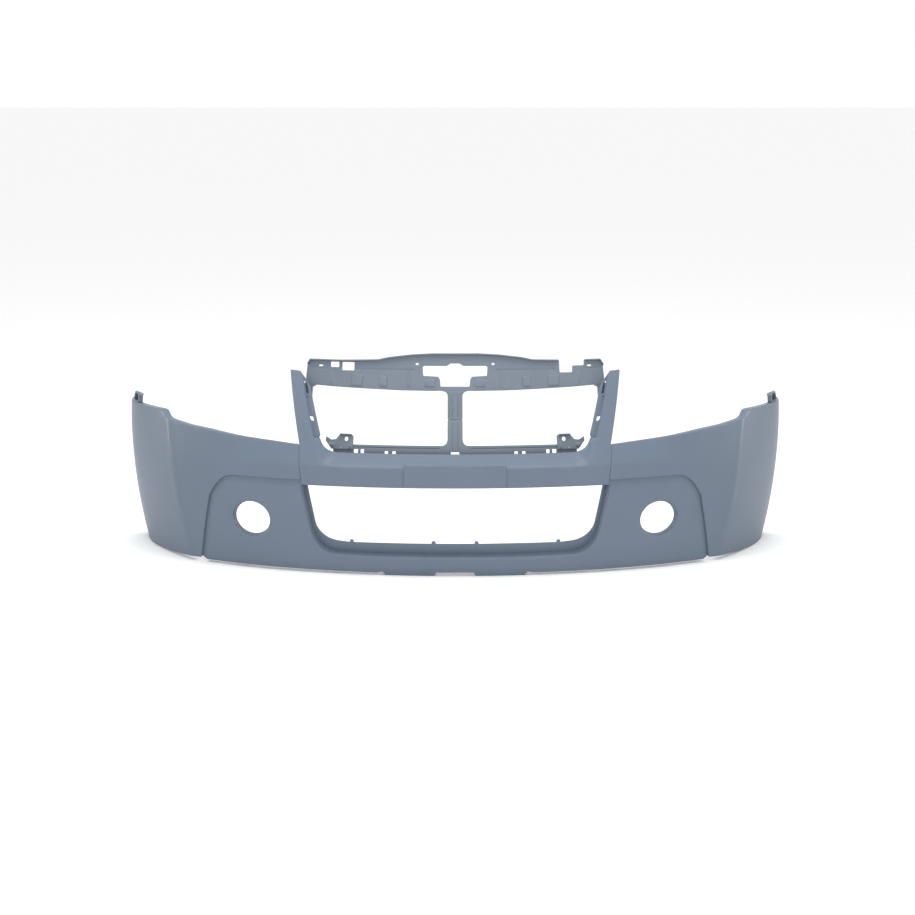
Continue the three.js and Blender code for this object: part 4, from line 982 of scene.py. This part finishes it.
# Grille brackets: small grey plates screwed to the front of the rail near its ends, with a hole for a grille
# clip.

BRACKET_SCREW, BRACKET_HOLE = (300, 314), (287, 334)
bracket_outline = [(268, 309), (268, 341), (273, 345), (304, 346), (315, 333), (327, 331)]
bracket_outline += [(343, 339), (343, 328), (326, 309)]


def bracket_relief(s, z):
    a = np.abs(s)
    return 3.8 + 2.4 * boxed(a, z, 271, 283, 311, 327, 2.0) + 3.0 * boxed(a, z, 318, 334, 314, 324, 2.0)


for label, side in SIDES:
    shell = moulding(
        flipped(bracket_outline, side),
        holes=[ring(side * s, z, radius) for (s, z), radius in ((BRACKET_HOLE, 5), (BRACKET_SCREW, 2.4))],
        relief=bracket_relief,
        wall=2.9,
        edge=0.7,
        corner=2,
        spacing=2.5,
    )
    ledge = slab(*sorted((side * 273, side * 304)), 342.6, 345.4, 3, 12)
    bracket = "grille_bracket_" + label
    piece("grille_clip_plate_" + label, [shell, ledge], frame_back, FRAME_GREY, "frame_plastic", bracket)


# Number plate plinth: a primed pad that stands 3.5 mm proud of the bar, screwed on from behind.


def plan_back(s, z):
    return np.zeros_like(s)


PLINTH_HALF, PLINTH_FOOT_Z, PLINTH_TOP_Z, PLINTH_PROUD = 126, 232, 288, 3.5
plinth_shell = moulding(
    box_outline(-PLINTH_HALF, PLINTH_HALF, PLINTH_FOOT_Z, PLINTH_TOP_Z),
    relief=PLINTH_PROUD,
    hem=lambda s, z: np.where(z > PLINTH_TOP_Z - 4, 13.5, 3.0),
    edge=1.6,
    corner=3,
    spacing=7,
)
piece("plate_pad", [plinth_shell], plan_back, PRIMER, "primed_plastic", "plate_plinth")


# Side retainers: grey open boxes screwed on the rear tops of the wings, each with a hook that runs forward
# from its roof and catches under the fender's edge. Moulded in one piece each.

RETAINER_S, RETAINER_T, RETAINER_DEPTH = ARCH_S - 145, -5, 12


def over_top(points, side):
    return [(side * (RETAINER_S + s), wing_top_z(RETAINER_S + s) + 0.3 + z) for s, z in points]


HOOK = [(33, 0), (33, 19), (0, 23), (3, 28), (60, 29), (82, 25), (95, 14), (100, 0)]
HOOK_SLOT = [(38, 3), (38, 20), (60, 23), (78, 20), (89, 10), (93, 3)]
BOX = [(34, 0), (34, 23), (60, 26), (80, 23), (92, 12), (97, 0)]
for label, side in SIDES:
    hook = moulding(
        over_top(HOOK, side),
        holes=[over_top(HOOK_SLOT, side)],
        relief=RETAINER_T,
        wall=2.9,
        edge=0.9,
        corner=4,
        spacing=4,
    )
    # The box is a tray whose rim reaches forward to the hook's plate.
    box = moulding(
        over_top(BOX, side),
        relief=lambda s, z: np.full_like(s, RETAINER_T - RETAINER_DEPTH + 2.8),
        hem=None,
        wall=2.8,
        edge=0.5,
        corner=3,
        spacing=4,
    )
    rim_inner = over_top([(37, 2.9), (37, 20.6), (60, 23.2), (79, 20.4), (89.4, 10.6), (93.4, 2.9)], side)
    rim = moulding(
        over_top(BOX, side),
        holes=[rim_inner],
        relief=RETAINER_T - 1.2,
        wall=RETAINER_DEPTH - 2,
        edge=0.5,
        corner=3,
        spacing=4,
    )
    retainer = "side_retainer_" + label
    piece("fender_hook_" + label, [hook, rim, box], body_back, FRAME_GREY, "frame_plastic", retainer)


# Screws: zinc-plated self-tapping steel screws with pan heads, a cross recess and a coarse thread. They go
# in from behind, so that none shows from the front.

LAP_BOSS_DEPTH = POD_STEP - LAP_GAP
SCREW_SHANK, SCREW_HEAD, SCREW_HEAD_HEIGHT = 2, 4.6, 2.4
SEAM_SCREW_Z = [285, 312]
LAP_SCREWS = [(TONGUE_S + 10, POD_TOP_Z + 4)]
LAP_SCREWS += [(s, POD_TOP_Z + 10) for s in (SEAM_S + 45, POD_CORNER_S - 30)]
LAP_SCREWS.append((pod_side_s(95) + 8, 95))
RETAINER_SCREWS = [RETAINER_S + 46, RETAINER_S + 84]
PLINTH_SCREWS = [(-80, 259), (80, 259)]
STRUT_SCREWS = [(-9, STRUT_LAP_Z + 12), (9, STRUT_LAP_Z + 12)]


def stood(back, s, z, t, axis="t", way=1):
    """Place in metres and Euler turn of a piece whose own Z axis follows t, s or z of the drawing."""
    half_mm = 0.5
    step = [half_mm * (name == axis) for name in "szt"]
    points, _ = laid(back, *([at, at + d, at - d] for at, d in zip((s, z, t), step)))
    ahead = Vector(points[1] - points[2]) * way
    return tuple(points[0]), tuple(ahead.to_track_quat("Z", "Y").to_euler())


def group_input(tree, name, kind, value):
    socket = tree.interface.new_socket(name, in_out="INPUT", socket_type=kind)
    if value is not None:
        socket.default_value = value
    return socket.identifier


def scattered(name, places, tree, values, look, slot_name, *nodes, body="cover"):
    """Plain mesh of a group's pieces set on places, each with its own turn. Their stored lengths are not
    used.
    """
    mesh = bpy.data.meshes.new(name + "_places")
    mesh.from_pydata([p[0] for p in places], [], [])
    turn = mesh.attributes.new("turn", "FLOAT_VECTOR", "POINT")
    turn.data.foreach_set("vector", [v for p in places for v in p[1]])
    length = mesh.attributes.new("length", "FLOAT", "POINT")
    length.data.foreach_set("value", [p[2] for p in places])
    holder = bpy.data.objects.new(name + "_places", mesh)
    bpy.context.collection.objects.link(holder)
    modifier = holder.modifiers.new("pieces", "NODES")
    modifier.node_group = tree
    for socket in tree.interface.items_tree:
        if socket.in_out == "INPUT" and socket.name in values:
            modifier[socket.identifier] = values[socket.name]
    graph = bpy.context.evaluated_depsgraph_get()
    result = holder.evaluated_get(graph)
    made = bpy.data.meshes.new_from_object(result, preserve_all_data_layers=False, depsgraph=graph)
    holder.modifiers.clear()
    bpy.data.objects.remove(holder)
    made.name = name
    return finished(name, made, look, slot_name, *nodes, body=body, crease=35)


def pieces_tree(name, inputs):
    """Empty geometry group that sets one piece on every point, with its named inputs ready."""
    tree = bpy.data.node_groups.new(name, "GeometryNodeTree")
    group_input(tree, "Geometry", "NodeSocketGeometry", None)
    for label, value in inputs.items():
        group_input(tree, label, "NodeSocketFloat", value)
    group_input(tree, "Material", "NodeSocketMaterial", None)
    tree.interface.new_socket("Geometry", in_out="OUTPUT", socket_type="NodeSocketGeometry")
    return tree, tree.nodes.new("NodeGroupInput")


def place_pieces(tree, start, geometry):
    """Ends a group: instances on the points with their stored turn, realized and given the material."""
    stored = add_node(tree, "GeometryNodeInputNamedAttribute", data_type="FLOAT_VECTOR", Name="turn")
    turn = add_node(tree, "FunctionNodeEulerToRotation", [("Euler", stored.outputs["Attribute"])])
    stands = [("Points", start.outputs["Geometry"]), ("Instance", geometry)]
    stands.append(("Rotation", turn.outputs["Rotation"]))
    on_points = add_node(tree, "GeometryNodeInstanceOnPoints", stands)
    real = add_node(tree, "GeometryNodeRealizeInstances", [("Geometry", on_points.outputs["Instances"])])
    painted = add_node(
        tree,
        "GeometryNodeSetMaterial",
        [("Geometry", real.outputs["Geometry"]), ("Material", start.outputs["Material"])],
    )
    end = tree.nodes.new("NodeGroupOutput")
    tree.links.new(painted.outputs["Geometry"], end.inputs["Geometry"])


def maths(tree, operation, a, b):
    """Output of a maths node; a and b are numbers or sockets."""
    made = add_node(tree, "ShaderNodeMath", operation=operation)
    for socket, value in zip(made.inputs, (a, b)):
        if isinstance(value, (int, float)):
            socket.default_value = value
        else:
            tree.links.new(value, socket)
    return made.outputs[0]


def along_z(tree, geometry, shift):
    """The geometry moved along its own axis."""
    way = add_node(tree, "ShaderNodeCombineXYZ", [("Z", shift)])
    moved = [("Geometry", geometry), ("Translation", way.outputs[0])]
    return add_node(tree, "GeometryNodeTransform", moved).outputs[0]


def screw_tree():
    """Head under the origin and shank above it, in metres."""
    inputs = {"Head radius": 0.0046, "Head height": 0.0024, "Shank radius": 0.002}
    inputs |= {"Length": 0.008, "Recess": 0.0026}
    tree, start = pieces_tree("pan_head_screw", inputs)
    given = start.outputs
    half = maths(tree, "MULTIPLY", given["Head height"], 0.5)
    low = maths(tree, "MULTIPLY", given["Head height"], -0.5)
    rim = add_node(
        tree, "GeometryNodeMeshCylinder", [("Radius", given["Head radius"]), ("Depth", half)], Vertices=28
    ).outputs["Mesh"]
    rim = along_z(tree, rim, maths(tree, "MULTIPLY", given["Head height"], -0.25))
    crown_top = maths(tree, "MULTIPLY", given["Head radius"], 0.66)
    crown = add_node(
        tree,
        "GeometryNodeMeshCone",
        [("Radius Top", given["Head radius"]), ("Radius Bottom", crown_top), ("Depth", half)],
        Vertices=28,
    ).outputs["Mesh"]
    crown = along_z(tree, crown, maths(tree, "MULTIPLY", given["Head height"], -1.0))
    head = add_node(tree, "GeometryNodeMeshBoolean", operation="UNION")
    tree.links.new(rim, head.inputs["Mesh 2"])
    tree.links.new(crown, head.inputs["Mesh 2"])
    cross = add_node(tree, "GeometryNodeJoinGeometry")
    for flip in (False, True):
        size = add_node(tree, "ShaderNodeCombineXYZ")
        tree.links.new(given["Recess"], size.inputs[1 if flip else 0])
        for socket in (0 if flip else 1, 2):
            part = 0.3 if socket < 2 else 0.7
            tree.links.new(maths(tree, "MULTIPLY", given["Recess"], part), size.inputs[socket])
        bar = add_node(tree, "GeometryNodeMeshCube", [("Size", size.outputs[0])]).outputs["Mesh"]
        top = maths(tree, "MULTIPLY", given["Head height"], -1.0)
        tree.links.new(along_z(tree, bar, top), cross.inputs[0])
    cut = add_node(tree, "GeometryNodeMeshBoolean", operation="DIFFERENCE")
    tree.links.new(head.outputs["Mesh"], cut.inputs["Mesh 1"])
    tree.links.new(cross.outputs[0], cut.inputs["Mesh 2"])
    shank_sizes = [("Radius", given["Shank radius"]), ("Depth", given["Length"])]
    shank = add_node(tree, "GeometryNodeMeshCylinder", shank_sizes, Vertices=20).outputs["Mesh"]
    shank = along_z(tree, shank, maths(tree, "MULTIPLY", given["Length"], 0.5))
    core = maths(tree, "MULTIPLY", given["Shank radius"], 0.98)
    threaded = maths(tree, "MULTIPLY", given["Length"], 0.86)
    spiral = add_node(
        tree,
        "GeometryNodeCurveSpiral",
        [("Start Radius", core), ("End Radius", core), ("Height", threaded)],
        Resolution=18,
        Rotations=5.0,
    )
    turn = add_node(tree, "GeometryNodeCurvePrimitiveCircle", Resolution=3, Radius=0.00028)
    thread = add_node(
        tree,
        "GeometryNodeCurveToMesh",
        [("Curve", spiral.outputs[0]), ("Profile Curve", turn.outputs[0])],
    )
    thread.inputs["Fill Caps"].default_value = True
    thread = along_z(tree, thread.outputs["Mesh"], maths(tree, "MULTIPLY", given["Length"], 0.08))
    whole = add_node(tree, "GeometryNodeJoinGeometry")
    for part in (cut.outputs["Mesh"], shank, thread):
        tree.links.new(part, whole.inputs[0])
    place_pieces(tree, start, whole.outputs[0])
    return tree


def metal(name, colour, roughness, scratch_mm):
    """Plated steel: a cloudy passivation, fine brushing in the gloss and tiny dents."""
    look = bpy.data.materials.new(name)
    look.use_nodes = True
    tree = look.node_tree
    shader = tree.nodes["Principled BSDF"]
    shader.inputs["Metallic"].default_value = 1
    place = add_node(tree, "ShaderNodeTexCoord").outputs["Object"]
    cloud = add_node(tree, "ShaderNodeTexNoise", [("Vector", place)], Scale=1000 / 6, Detail=3.0)
    ramp = add_node(tree, "ShaderNodeMix", [("Factor", cloud.outputs["Fac"])], data_type="RGBA")
    ramp.inputs["A"].default_value = linear(colour[0])
    ramp.inputs["B"].default_value = linear(colour[1])
    tree.links.new(ramp.outputs["Result"], shader.inputs["Base Color"])
    fine = add_node(tree, "ShaderNodeTexNoise", [("Vector", place)], Scale=1000 / scratch_mm, Detail=4.0)
    gloss = add_node(tree, "ShaderNodeMapRange", [("Value", fine.outputs["Fac"])])
    gloss.inputs["To Min"].default_value = roughness - 0.08
    gloss.inputs["To Max"].default_value = roughness + 0.12
    tree.links.new(gloss.outputs["Result"], shader.inputs["Roughness"])
    bump = add_node(tree, "ShaderNodeBump", [("Height", fine.outputs["Fac"])], Strength=0.3, Distance=0.00004)
    tree.links.new(bump.outputs["Normal"], shader.inputs["Normal"])
    return look


# Bright zinc plating with a faint yellowish passivation
ZINC = metal("zinc_plated_steel", ("#b9b7ae", "#a3a5a6"), 0.34, 0.5)

screw_sets = {"lap": [], "fog": [], "seam": [], "bracket": [], "retainer": []}
for label, side in SIDES:
    head = -POD_STEP - 3 - LAP_GAP
    for s, z in LAP_SCREWS:
        screw_sets["lap"].append((*stood(body_back, side * s, z, head), LAP_BOSS_DEPTH + 1.8))
    fog_head = EAR_T - 3 - 0.3
    for s, z in FOG_SCREWS:
        screw_sets["fog"].append((*stood(body_back, side * s, z, fog_head), -fog_head - POD_STEP - 2.3))
    for z in SEAM_SCREW_Z:
        screw_sets["seam"].append((*stood(body_back, side * (seam_s(z) - 4), z, -11, "s", side), 8))
    bracket_place = stood(frame_back, side * BRACKET_SCREW[0], BRACKET_SCREW[1], -3.3)
    screw_sets["bracket"].append((*bracket_place, 6.6))
    for s in RETAINER_SCREWS:
        depth = RETAINER_T - RETAINER_DEPTH / 2
        screw_sets["retainer"].append((*stood(body_back, side * s, wing_top_z(s) - 3.3, depth, "z"), 6))
rail_head = RAIL_TAB_T - RAIL_BACK - 3.3
screw_sets["rail"] = [(*stood(plan_back, s, z, rail_head), -rail_head - 2.5) for s, z in RAIL_SCREWS]
screw_sets["plinth"] = [(*stood(body_back, s, z, -3 - LAP_GAP), 3 + LAP_GAP + 2.4) for s, z in PLINTH_SCREWS]
screw_sets["strut"] = [(*stood(frame_back, s, z, TONGUE_T - 3.3), 8.3) for s, z in STRUT_SCREWS]
screw_group = screw_tree()
for label, places in screw_sets.items():
    nodes = [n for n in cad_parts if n.startswith(label + "_screw")]
    sizes = {
        "Head radius": SCREW_HEAD / 1000,
        "Head height": SCREW_HEAD_HEIGHT / 1000,
        "Shank radius": SCREW_SHANK / 1000,
        "Length": places[0][2] / 1000,
        "Recess": 0.0042,
        "Material": ZINC,
    }
    scattered(label + "_screws", places, screw_group, sizes, ZINC, "zinc_steel", *nodes)


# Screw bosses: hollow round posts moulded on the backs of the skins, each with four small gussets at its
# root.


def boss_tree():
    """Open end up, root at the origin and a little below it, in metres."""
    tree, start = pieces_tree("screw_boss", {"Radius": 0.005, "Bore": 0.0023, "Height": 0.006})
    given = start.outputs
    post_sizes = [("Radius", given["Radius"]), ("Depth", given["Height"])]
    post = add_node(tree, "GeometryNodeMeshCylinder", post_sizes, Vertices=28).outputs["Mesh"]
    ribs = add_node(tree, "GeometryNodeJoinGeometry")
    for flip in (False, True):
        size = add_node(tree, "ShaderNodeCombineXYZ")
        tree.links.new(maths(tree, "MULTIPLY", given["Radius"], 3.2), size.inputs[1 if flip else 0])
        size.inputs[0 if flip else 1].default_value = 0.0012
        tree.links.new(maths(tree, "MULTIPLY", given["Height"], 0.6), size.inputs[2])
        bar = add_node(tree, "GeometryNodeMeshCube", [("Size", size.outputs[0])]).outputs["Mesh"]
        tree.links.new(along_z(tree, bar, maths(tree, "MULTIPLY", given["Height"], -0.2)), ribs.inputs[0])
    bore = add_node(
        tree,
        "GeometryNodeMeshCylinder",
        [("Radius", given["Bore"]), ("Depth", maths(tree, "MULTIPLY", given["Height"], 1.4))],
        Vertices=24,
    ).outputs["Mesh"]
    both = add_node(tree, "GeometryNodeMeshBoolean", operation="UNION")
    tree.links.new(post, both.inputs["Mesh 2"])
    tree.links.new(ribs.outputs[0], both.inputs["Mesh 2"])
    cut = add_node(tree, "GeometryNodeMeshBoolean", operation="DIFFERENCE")
    tree.links.new(both.outputs["Mesh"], cut.inputs["Mesh 1"])
    tree.links.new(along_z(tree, bore, maths(tree, "MULTIPLY", given["Height"], 0.3)), cut.inputs["Mesh 2"])
    middle = maths(tree, "MULTIPLY", given["Height"], 0.5)
    place_pieces(tree, start, along_z(tree, cut.outputs["Mesh"], middle))
    return tree


boss_group = boss_tree()
BOSS_ROOT = 2.2  # the posts start this far below the front of their wall
lap_posts = [(side * s, z) for s, z in LAP_SCREWS for _, side in SIDES]
fog_posts = [(side * s, z) for s, z in FOG_SCREWS for _, side in SIDES]
boss_sets = {
    "lap_bosses": (body_back, lap_posts, -BOSS_ROOT, LAP_BOSS_DEPTH - BOSS_ROOT),
    "fog_bosses": (body_back, fog_posts, -POD_STEP - BOSS_ROOT, 6.7),
    "rail_bosses": (body_back, RAIL_SCREWS, -BOSS_ROOT, 6.7),
    "strut_bosses": (frame_back, STRUT_SCREWS, -BOSS_ROOT, 4.7),
}
for name, (back, places, t, height) in boss_sets.items():
    posts = [(*stood(back, s, z, t, "t", -1), height) for s, z in places]
    sizes = {"Radius": 0.005, "Bore": 0.0023, "Height": height / 1000, "Material": PRIMER}
    scattered(name, posts, boss_group, sizes, PRIMER, "primed_plastic")


# Spring nuts: strips of zinc-plated spring steel folded round the hem of the lip, for the screws of an
# undertray.


def spring_nut_tree():
    """Folded strip whose two leaves lie across Z, with its fold at -Y and a hole through both leaves."""
    inputs = {"Width": 0.016, "Depth": 0.016, "Gap": 0.004, "Sheet": 0.001, "Hole": 0.0023}
    tree, start = pieces_tree("spring_nut", inputs)
    given = start.outputs
    outer_size = add_node(tree, "ShaderNodeCombineXYZ", [("X", given["Width"]), ("Y", given["Depth"])])
    tall = maths(tree, "ADD", given["Gap"], maths(tree, "MULTIPLY", given["Sheet"], 2.0))
    tree.links.new(tall, outer_size.inputs[2])
    outer_box = add_node(tree, "GeometryNodeMeshCube", [("Size", outer_size.outputs[0])]).outputs["Mesh"]
    inner_size = add_node(tree, "ShaderNodeCombineXYZ", [("Y", given["Depth"]), ("Z", given["Gap"])])
    tree.links.new(maths(tree, "MULTIPLY", given["Width"], 1.5), inner_size.inputs[0])
    inner_box = add_node(tree, "GeometryNodeMeshCube", [("Size", inner_size.outputs[0])]).outputs["Mesh"]
    shift = add_node(tree, "ShaderNodeCombineXYZ", [("Y", given["Sheet"])])
    inner_box = add_node(
        tree, "GeometryNodeTransform", [("Geometry", inner_box), ("Translation", shift.outputs[0])]
    ).outputs[0]
    hole = add_node(tree, "GeometryNodeMeshCylinder", [("Radius", given["Hole"])], Vertices=20, Depth=0.02)
    cut = add_node(tree, "GeometryNodeMeshBoolean", operation="DIFFERENCE")
    tree.links.new(outer_box, cut.inputs["Mesh 1"])
    for part in (inner_box, hole.outputs["Mesh"]):
        tree.links.new(part, cut.inputs["Mesh 2"])
    # The stamped thread stands up round the hole on the upper leaf.
    collar = add_node(tree, "GeometryNodeMeshCylinder", Vertices=24, Radius=0.0034, Depth=0.0016)
    collar = collar.outputs["Mesh"]
    collar_cut = add_node(tree, "GeometryNodeMeshBoolean", operation="DIFFERENCE")
    tree.links.new(collar, collar_cut.inputs["Mesh 1"])
    tree.links.new(hole.outputs["Mesh"], collar_cut.inputs["Mesh 2"])
    up = maths(tree, "MULTIPLY", tall, 0.5)
    whole = add_node(tree, "GeometryNodeJoinGeometry")
    tree.links.new(cut.outputs["Mesh"], whole.inputs[0])
    raised = maths(tree, "ADD", up, 0.0006)
    tree.links.new(along_z(tree, collar_cut.outputs["Mesh"], raised), whole.inputs[0])
    place_pieces(tree, start, whole.outputs[0])
    return tree


def foot_place(s, z, t):
    """Place and turn with Z up, and Y pointing outwards."""
    points, out = laid(body_back, [s], [z], [t])
    y = Vector((out[0][0], out[0][1], 0)).normalized()
    x = y.cross(Vector((0, 0, 1)))
    turn = Matrix((x, y, Vector((0, 0, 1)))).transposed().to_euler()
    return tuple(points[0]), tuple(turn), 1.0


NUT_PLACES = [(s, FOOT_Z + 1.5, -POD_STEP - FOOT_HEM - 2.6 + 8) for s in (-560, -330, 330, 560)]
nut_sizes = {"Width": 0.0158, "Depth": 0.0158, "Gap": 0.0036, "Sheet": 0.001, "Hole": 0.0023}
nut_sizes["Material"] = ZINC
nut_nodes = [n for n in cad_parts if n.startswith("spring_nut")]
nut_places = [foot_place(*place) for place in NUT_PLACES]
scattered("hem_spring_nuts", nut_places, spring_nut_tree(), nut_sizes, ZINC, "zinc_steel", *nut_nodes)


# Push retainers: black nylon barrels with four splayed legs, each spread by a pin that pulls out backwards
# by 6 mm.

BARREL, BORE, FLANGE, FLANGE_HEIGHT, CLIP_LENGTH = 4, 2.6, 7, 2, 10
PIN, PIN_HEAD, PIN_HEAD_HEIGHT = 2, 5, 1.6

NYLON = plastic("black_nylon", "#232528", "#1b1d20", 0.48, 1.2, 0.00003, 30)


def turned_part(profile, count=36):
    """Points and faces of a profile of (radius, height) in mm turned round Z. A radius of 0 is its end."""
    turn = np.arange(count) * 2 * math.pi / count
    points, rings, faces = [], [], []
    for radius, height in profile:
        if radius == 0:
            rings.append([len(points)] * count)
            points.append((0, 0, height))
            continue
        rings.append(list(range(len(points), len(points) + count)))
        points += [(radius * math.cos(a), radius * math.sin(a), height) for a in turn]
    closed = profile[0][0] != 0
    for i in range(len(rings) - (0 if closed else 1)):
        a, b = rings[i], rings[(i + 1) % len(rings)]
        for k in range(count):
            m = (k + 1) % count
            face = [a[k], a[m], b[m], b[k]]
            face = [v for j, v in enumerate(face) if v not in face[:j]]
            if len(face) > 2:
                faces.append(tuple(face))
    return np.array(points, float), faces


def placed_part(name, part, place, look, slot_name, *nodes, body="cover"):
    points, faces = part
    spot, turn = place[0], Euler(place[1]).to_matrix()
    mesh = bpy.data.meshes.new(name)
    mesh.from_pydata([tuple(turn @ Vector(p * 0.001) + Vector(spot)) for p in points], [], faces)
    return finished(name, mesh, look, slot_name, *nodes, body=body, crease=35)


barrel_profile = [
    (BORE, -FLANGE_HEIGHT),
    (FLANGE - 0.5, -FLANGE_HEIGHT),
    (FLANGE, -FLANGE_HEIGHT + 0.5),
    (FLANGE, -0.5),
    (FLANGE - 0.4, 0),
    (BARREL - 0.2, 0),
    (BARREL - 0.2, 2.6),
    (BARREL, 4.2),
    (BARREL, CLIP_LENGTH - 2.5),
    (BARREL - 0.9, CLIP_LENGTH),
    (BORE, CLIP_LENGTH),
]
pin_seat = -FLANGE_HEIGHT - 0.3
pin_profile = [
    (0, pin_seat - PIN_HEAD_HEIGHT),
    (1.6, pin_seat - PIN_HEAD_HEIGHT),
    (1.9, pin_seat - PIN_HEAD_HEIGHT + 0.3),
    (PIN_HEAD - 0.7, pin_seat - PIN_HEAD_HEIGHT + 0.1),
    (PIN_HEAD, pin_seat - PIN_HEAD_HEIGHT + 0.6),
    (PIN_HEAD, pin_seat - 0.3),
    (PIN_HEAD - 0.3, pin_seat),
    (PIN, pin_seat),
    (PIN, CLIP_LENGTH - 3.2),
    (PIN - 0.5, CLIP_LENGTH - 1),
    (0, CLIP_LENGTH - 1),
]
for label, side in SIDES:
    for number, (s, z) in enumerate(CLIP_PLACES, 1):
        tag = label + "_" + str(number)
        place = stood(frame_back, side * s, z, -3.3)
        barrel, pin = turned_part(barrel_profile), turned_part(pin_profile)
        node, pin_node = "clip_body_" + tag, "clip_pin_" + tag
        placed_part("retainer_" + tag, barrel, place, NYLON, "black_nylon", node)
        placed_part("retainer_pin_" + tag, pin, place, NYLON, "black_nylon", pin_node, body="pin_" + tag)


# Camera, floor and light: a long lens a little above the cover, and a pale seamless floor under soft panels.

lens = bpy.data.cameras.new("camera")
lens.sensor_width = 36
lens.lens = 75.5
lens.clip_end = 60
camera = bpy.data.objects.new("camera", lens)
bpy.context.collection.objects.link(camera)
bpy.context.scene.camera = camera
tilt = math.radians(11.5)
target = Vector((0.006, 0.0107, 0.2563))
camera.location = target + Vector((0, -math.cos(tilt), math.sin(tilt))) * 4.95
camera.rotation_euler = (math.pi / 2 - tilt, 0, 0)

floor_mesh = bpy.data.meshes.new("floor")
floor_mesh.from_pydata([(-60, -60, 0), (60, -60, 0), (60, 60, 0), (-60, 60, 0)], [], [(0, 1, 2, 3)])
floor = bpy.data.objects.new("floor", floor_mesh)
bpy.context.collection.objects.link(floor)
pale = bpy.data.materials.new("studio_floor")
pale.use_nodes = True
pale.node_tree.nodes["Principled BSDF"].inputs["Base Color"].default_value = linear("#f7f7f7")
pale.node_tree.nodes["Principled BSDF"].inputs["Roughness"].default_value = 0.9
floor_mesh.materials.append(pale)

world = bpy.data.worlds.new("studio")
world.use_nodes = True
world.node_tree.nodes["Background"].inputs["Color"].default_value = (1, 1, 1, 1)
world.node_tree.nodes["Background"].inputs["Strength"].default_value = 1.0
bpy.context.scene.world = world
bpy.context.scene.view_settings.view_transform = "Standard"


def panel_light(name, place, size, watts, aim=(0, 0, 0.25)):
    data = bpy.data.lights.new(name, "AREA")
    data.shape = "RECTANGLE"
    data.size, data.size_y = size
    data.energy = watts
    made = bpy.data.objects.new(name, data)
    bpy.context.collection.objects.link(made)
    made.location = place
    made.rotation_euler = (Vector(aim) - Vector(place)).to_track_quat("-Z", "Y").to_euler()
    return made


panel_light("top_panel", (0, -0.6, 3.4), (3.0, 1.6), 78)
panel_light("front_panel", (0, -2.6, 1.5), (1.2, 0.5), 12, (0, -0.2, 0.28))
for side in (-1, 1):
    # Seen only in the primer's sheen: it draws the light line down the crease of each wing.
    strip = panel_light("strip_panel", (side * 3.5, 0.05, 0.9), (0.16, 2.0), 120, (side * 0.7, -0.05, 0.25))
    strip.visible_diffuse = False
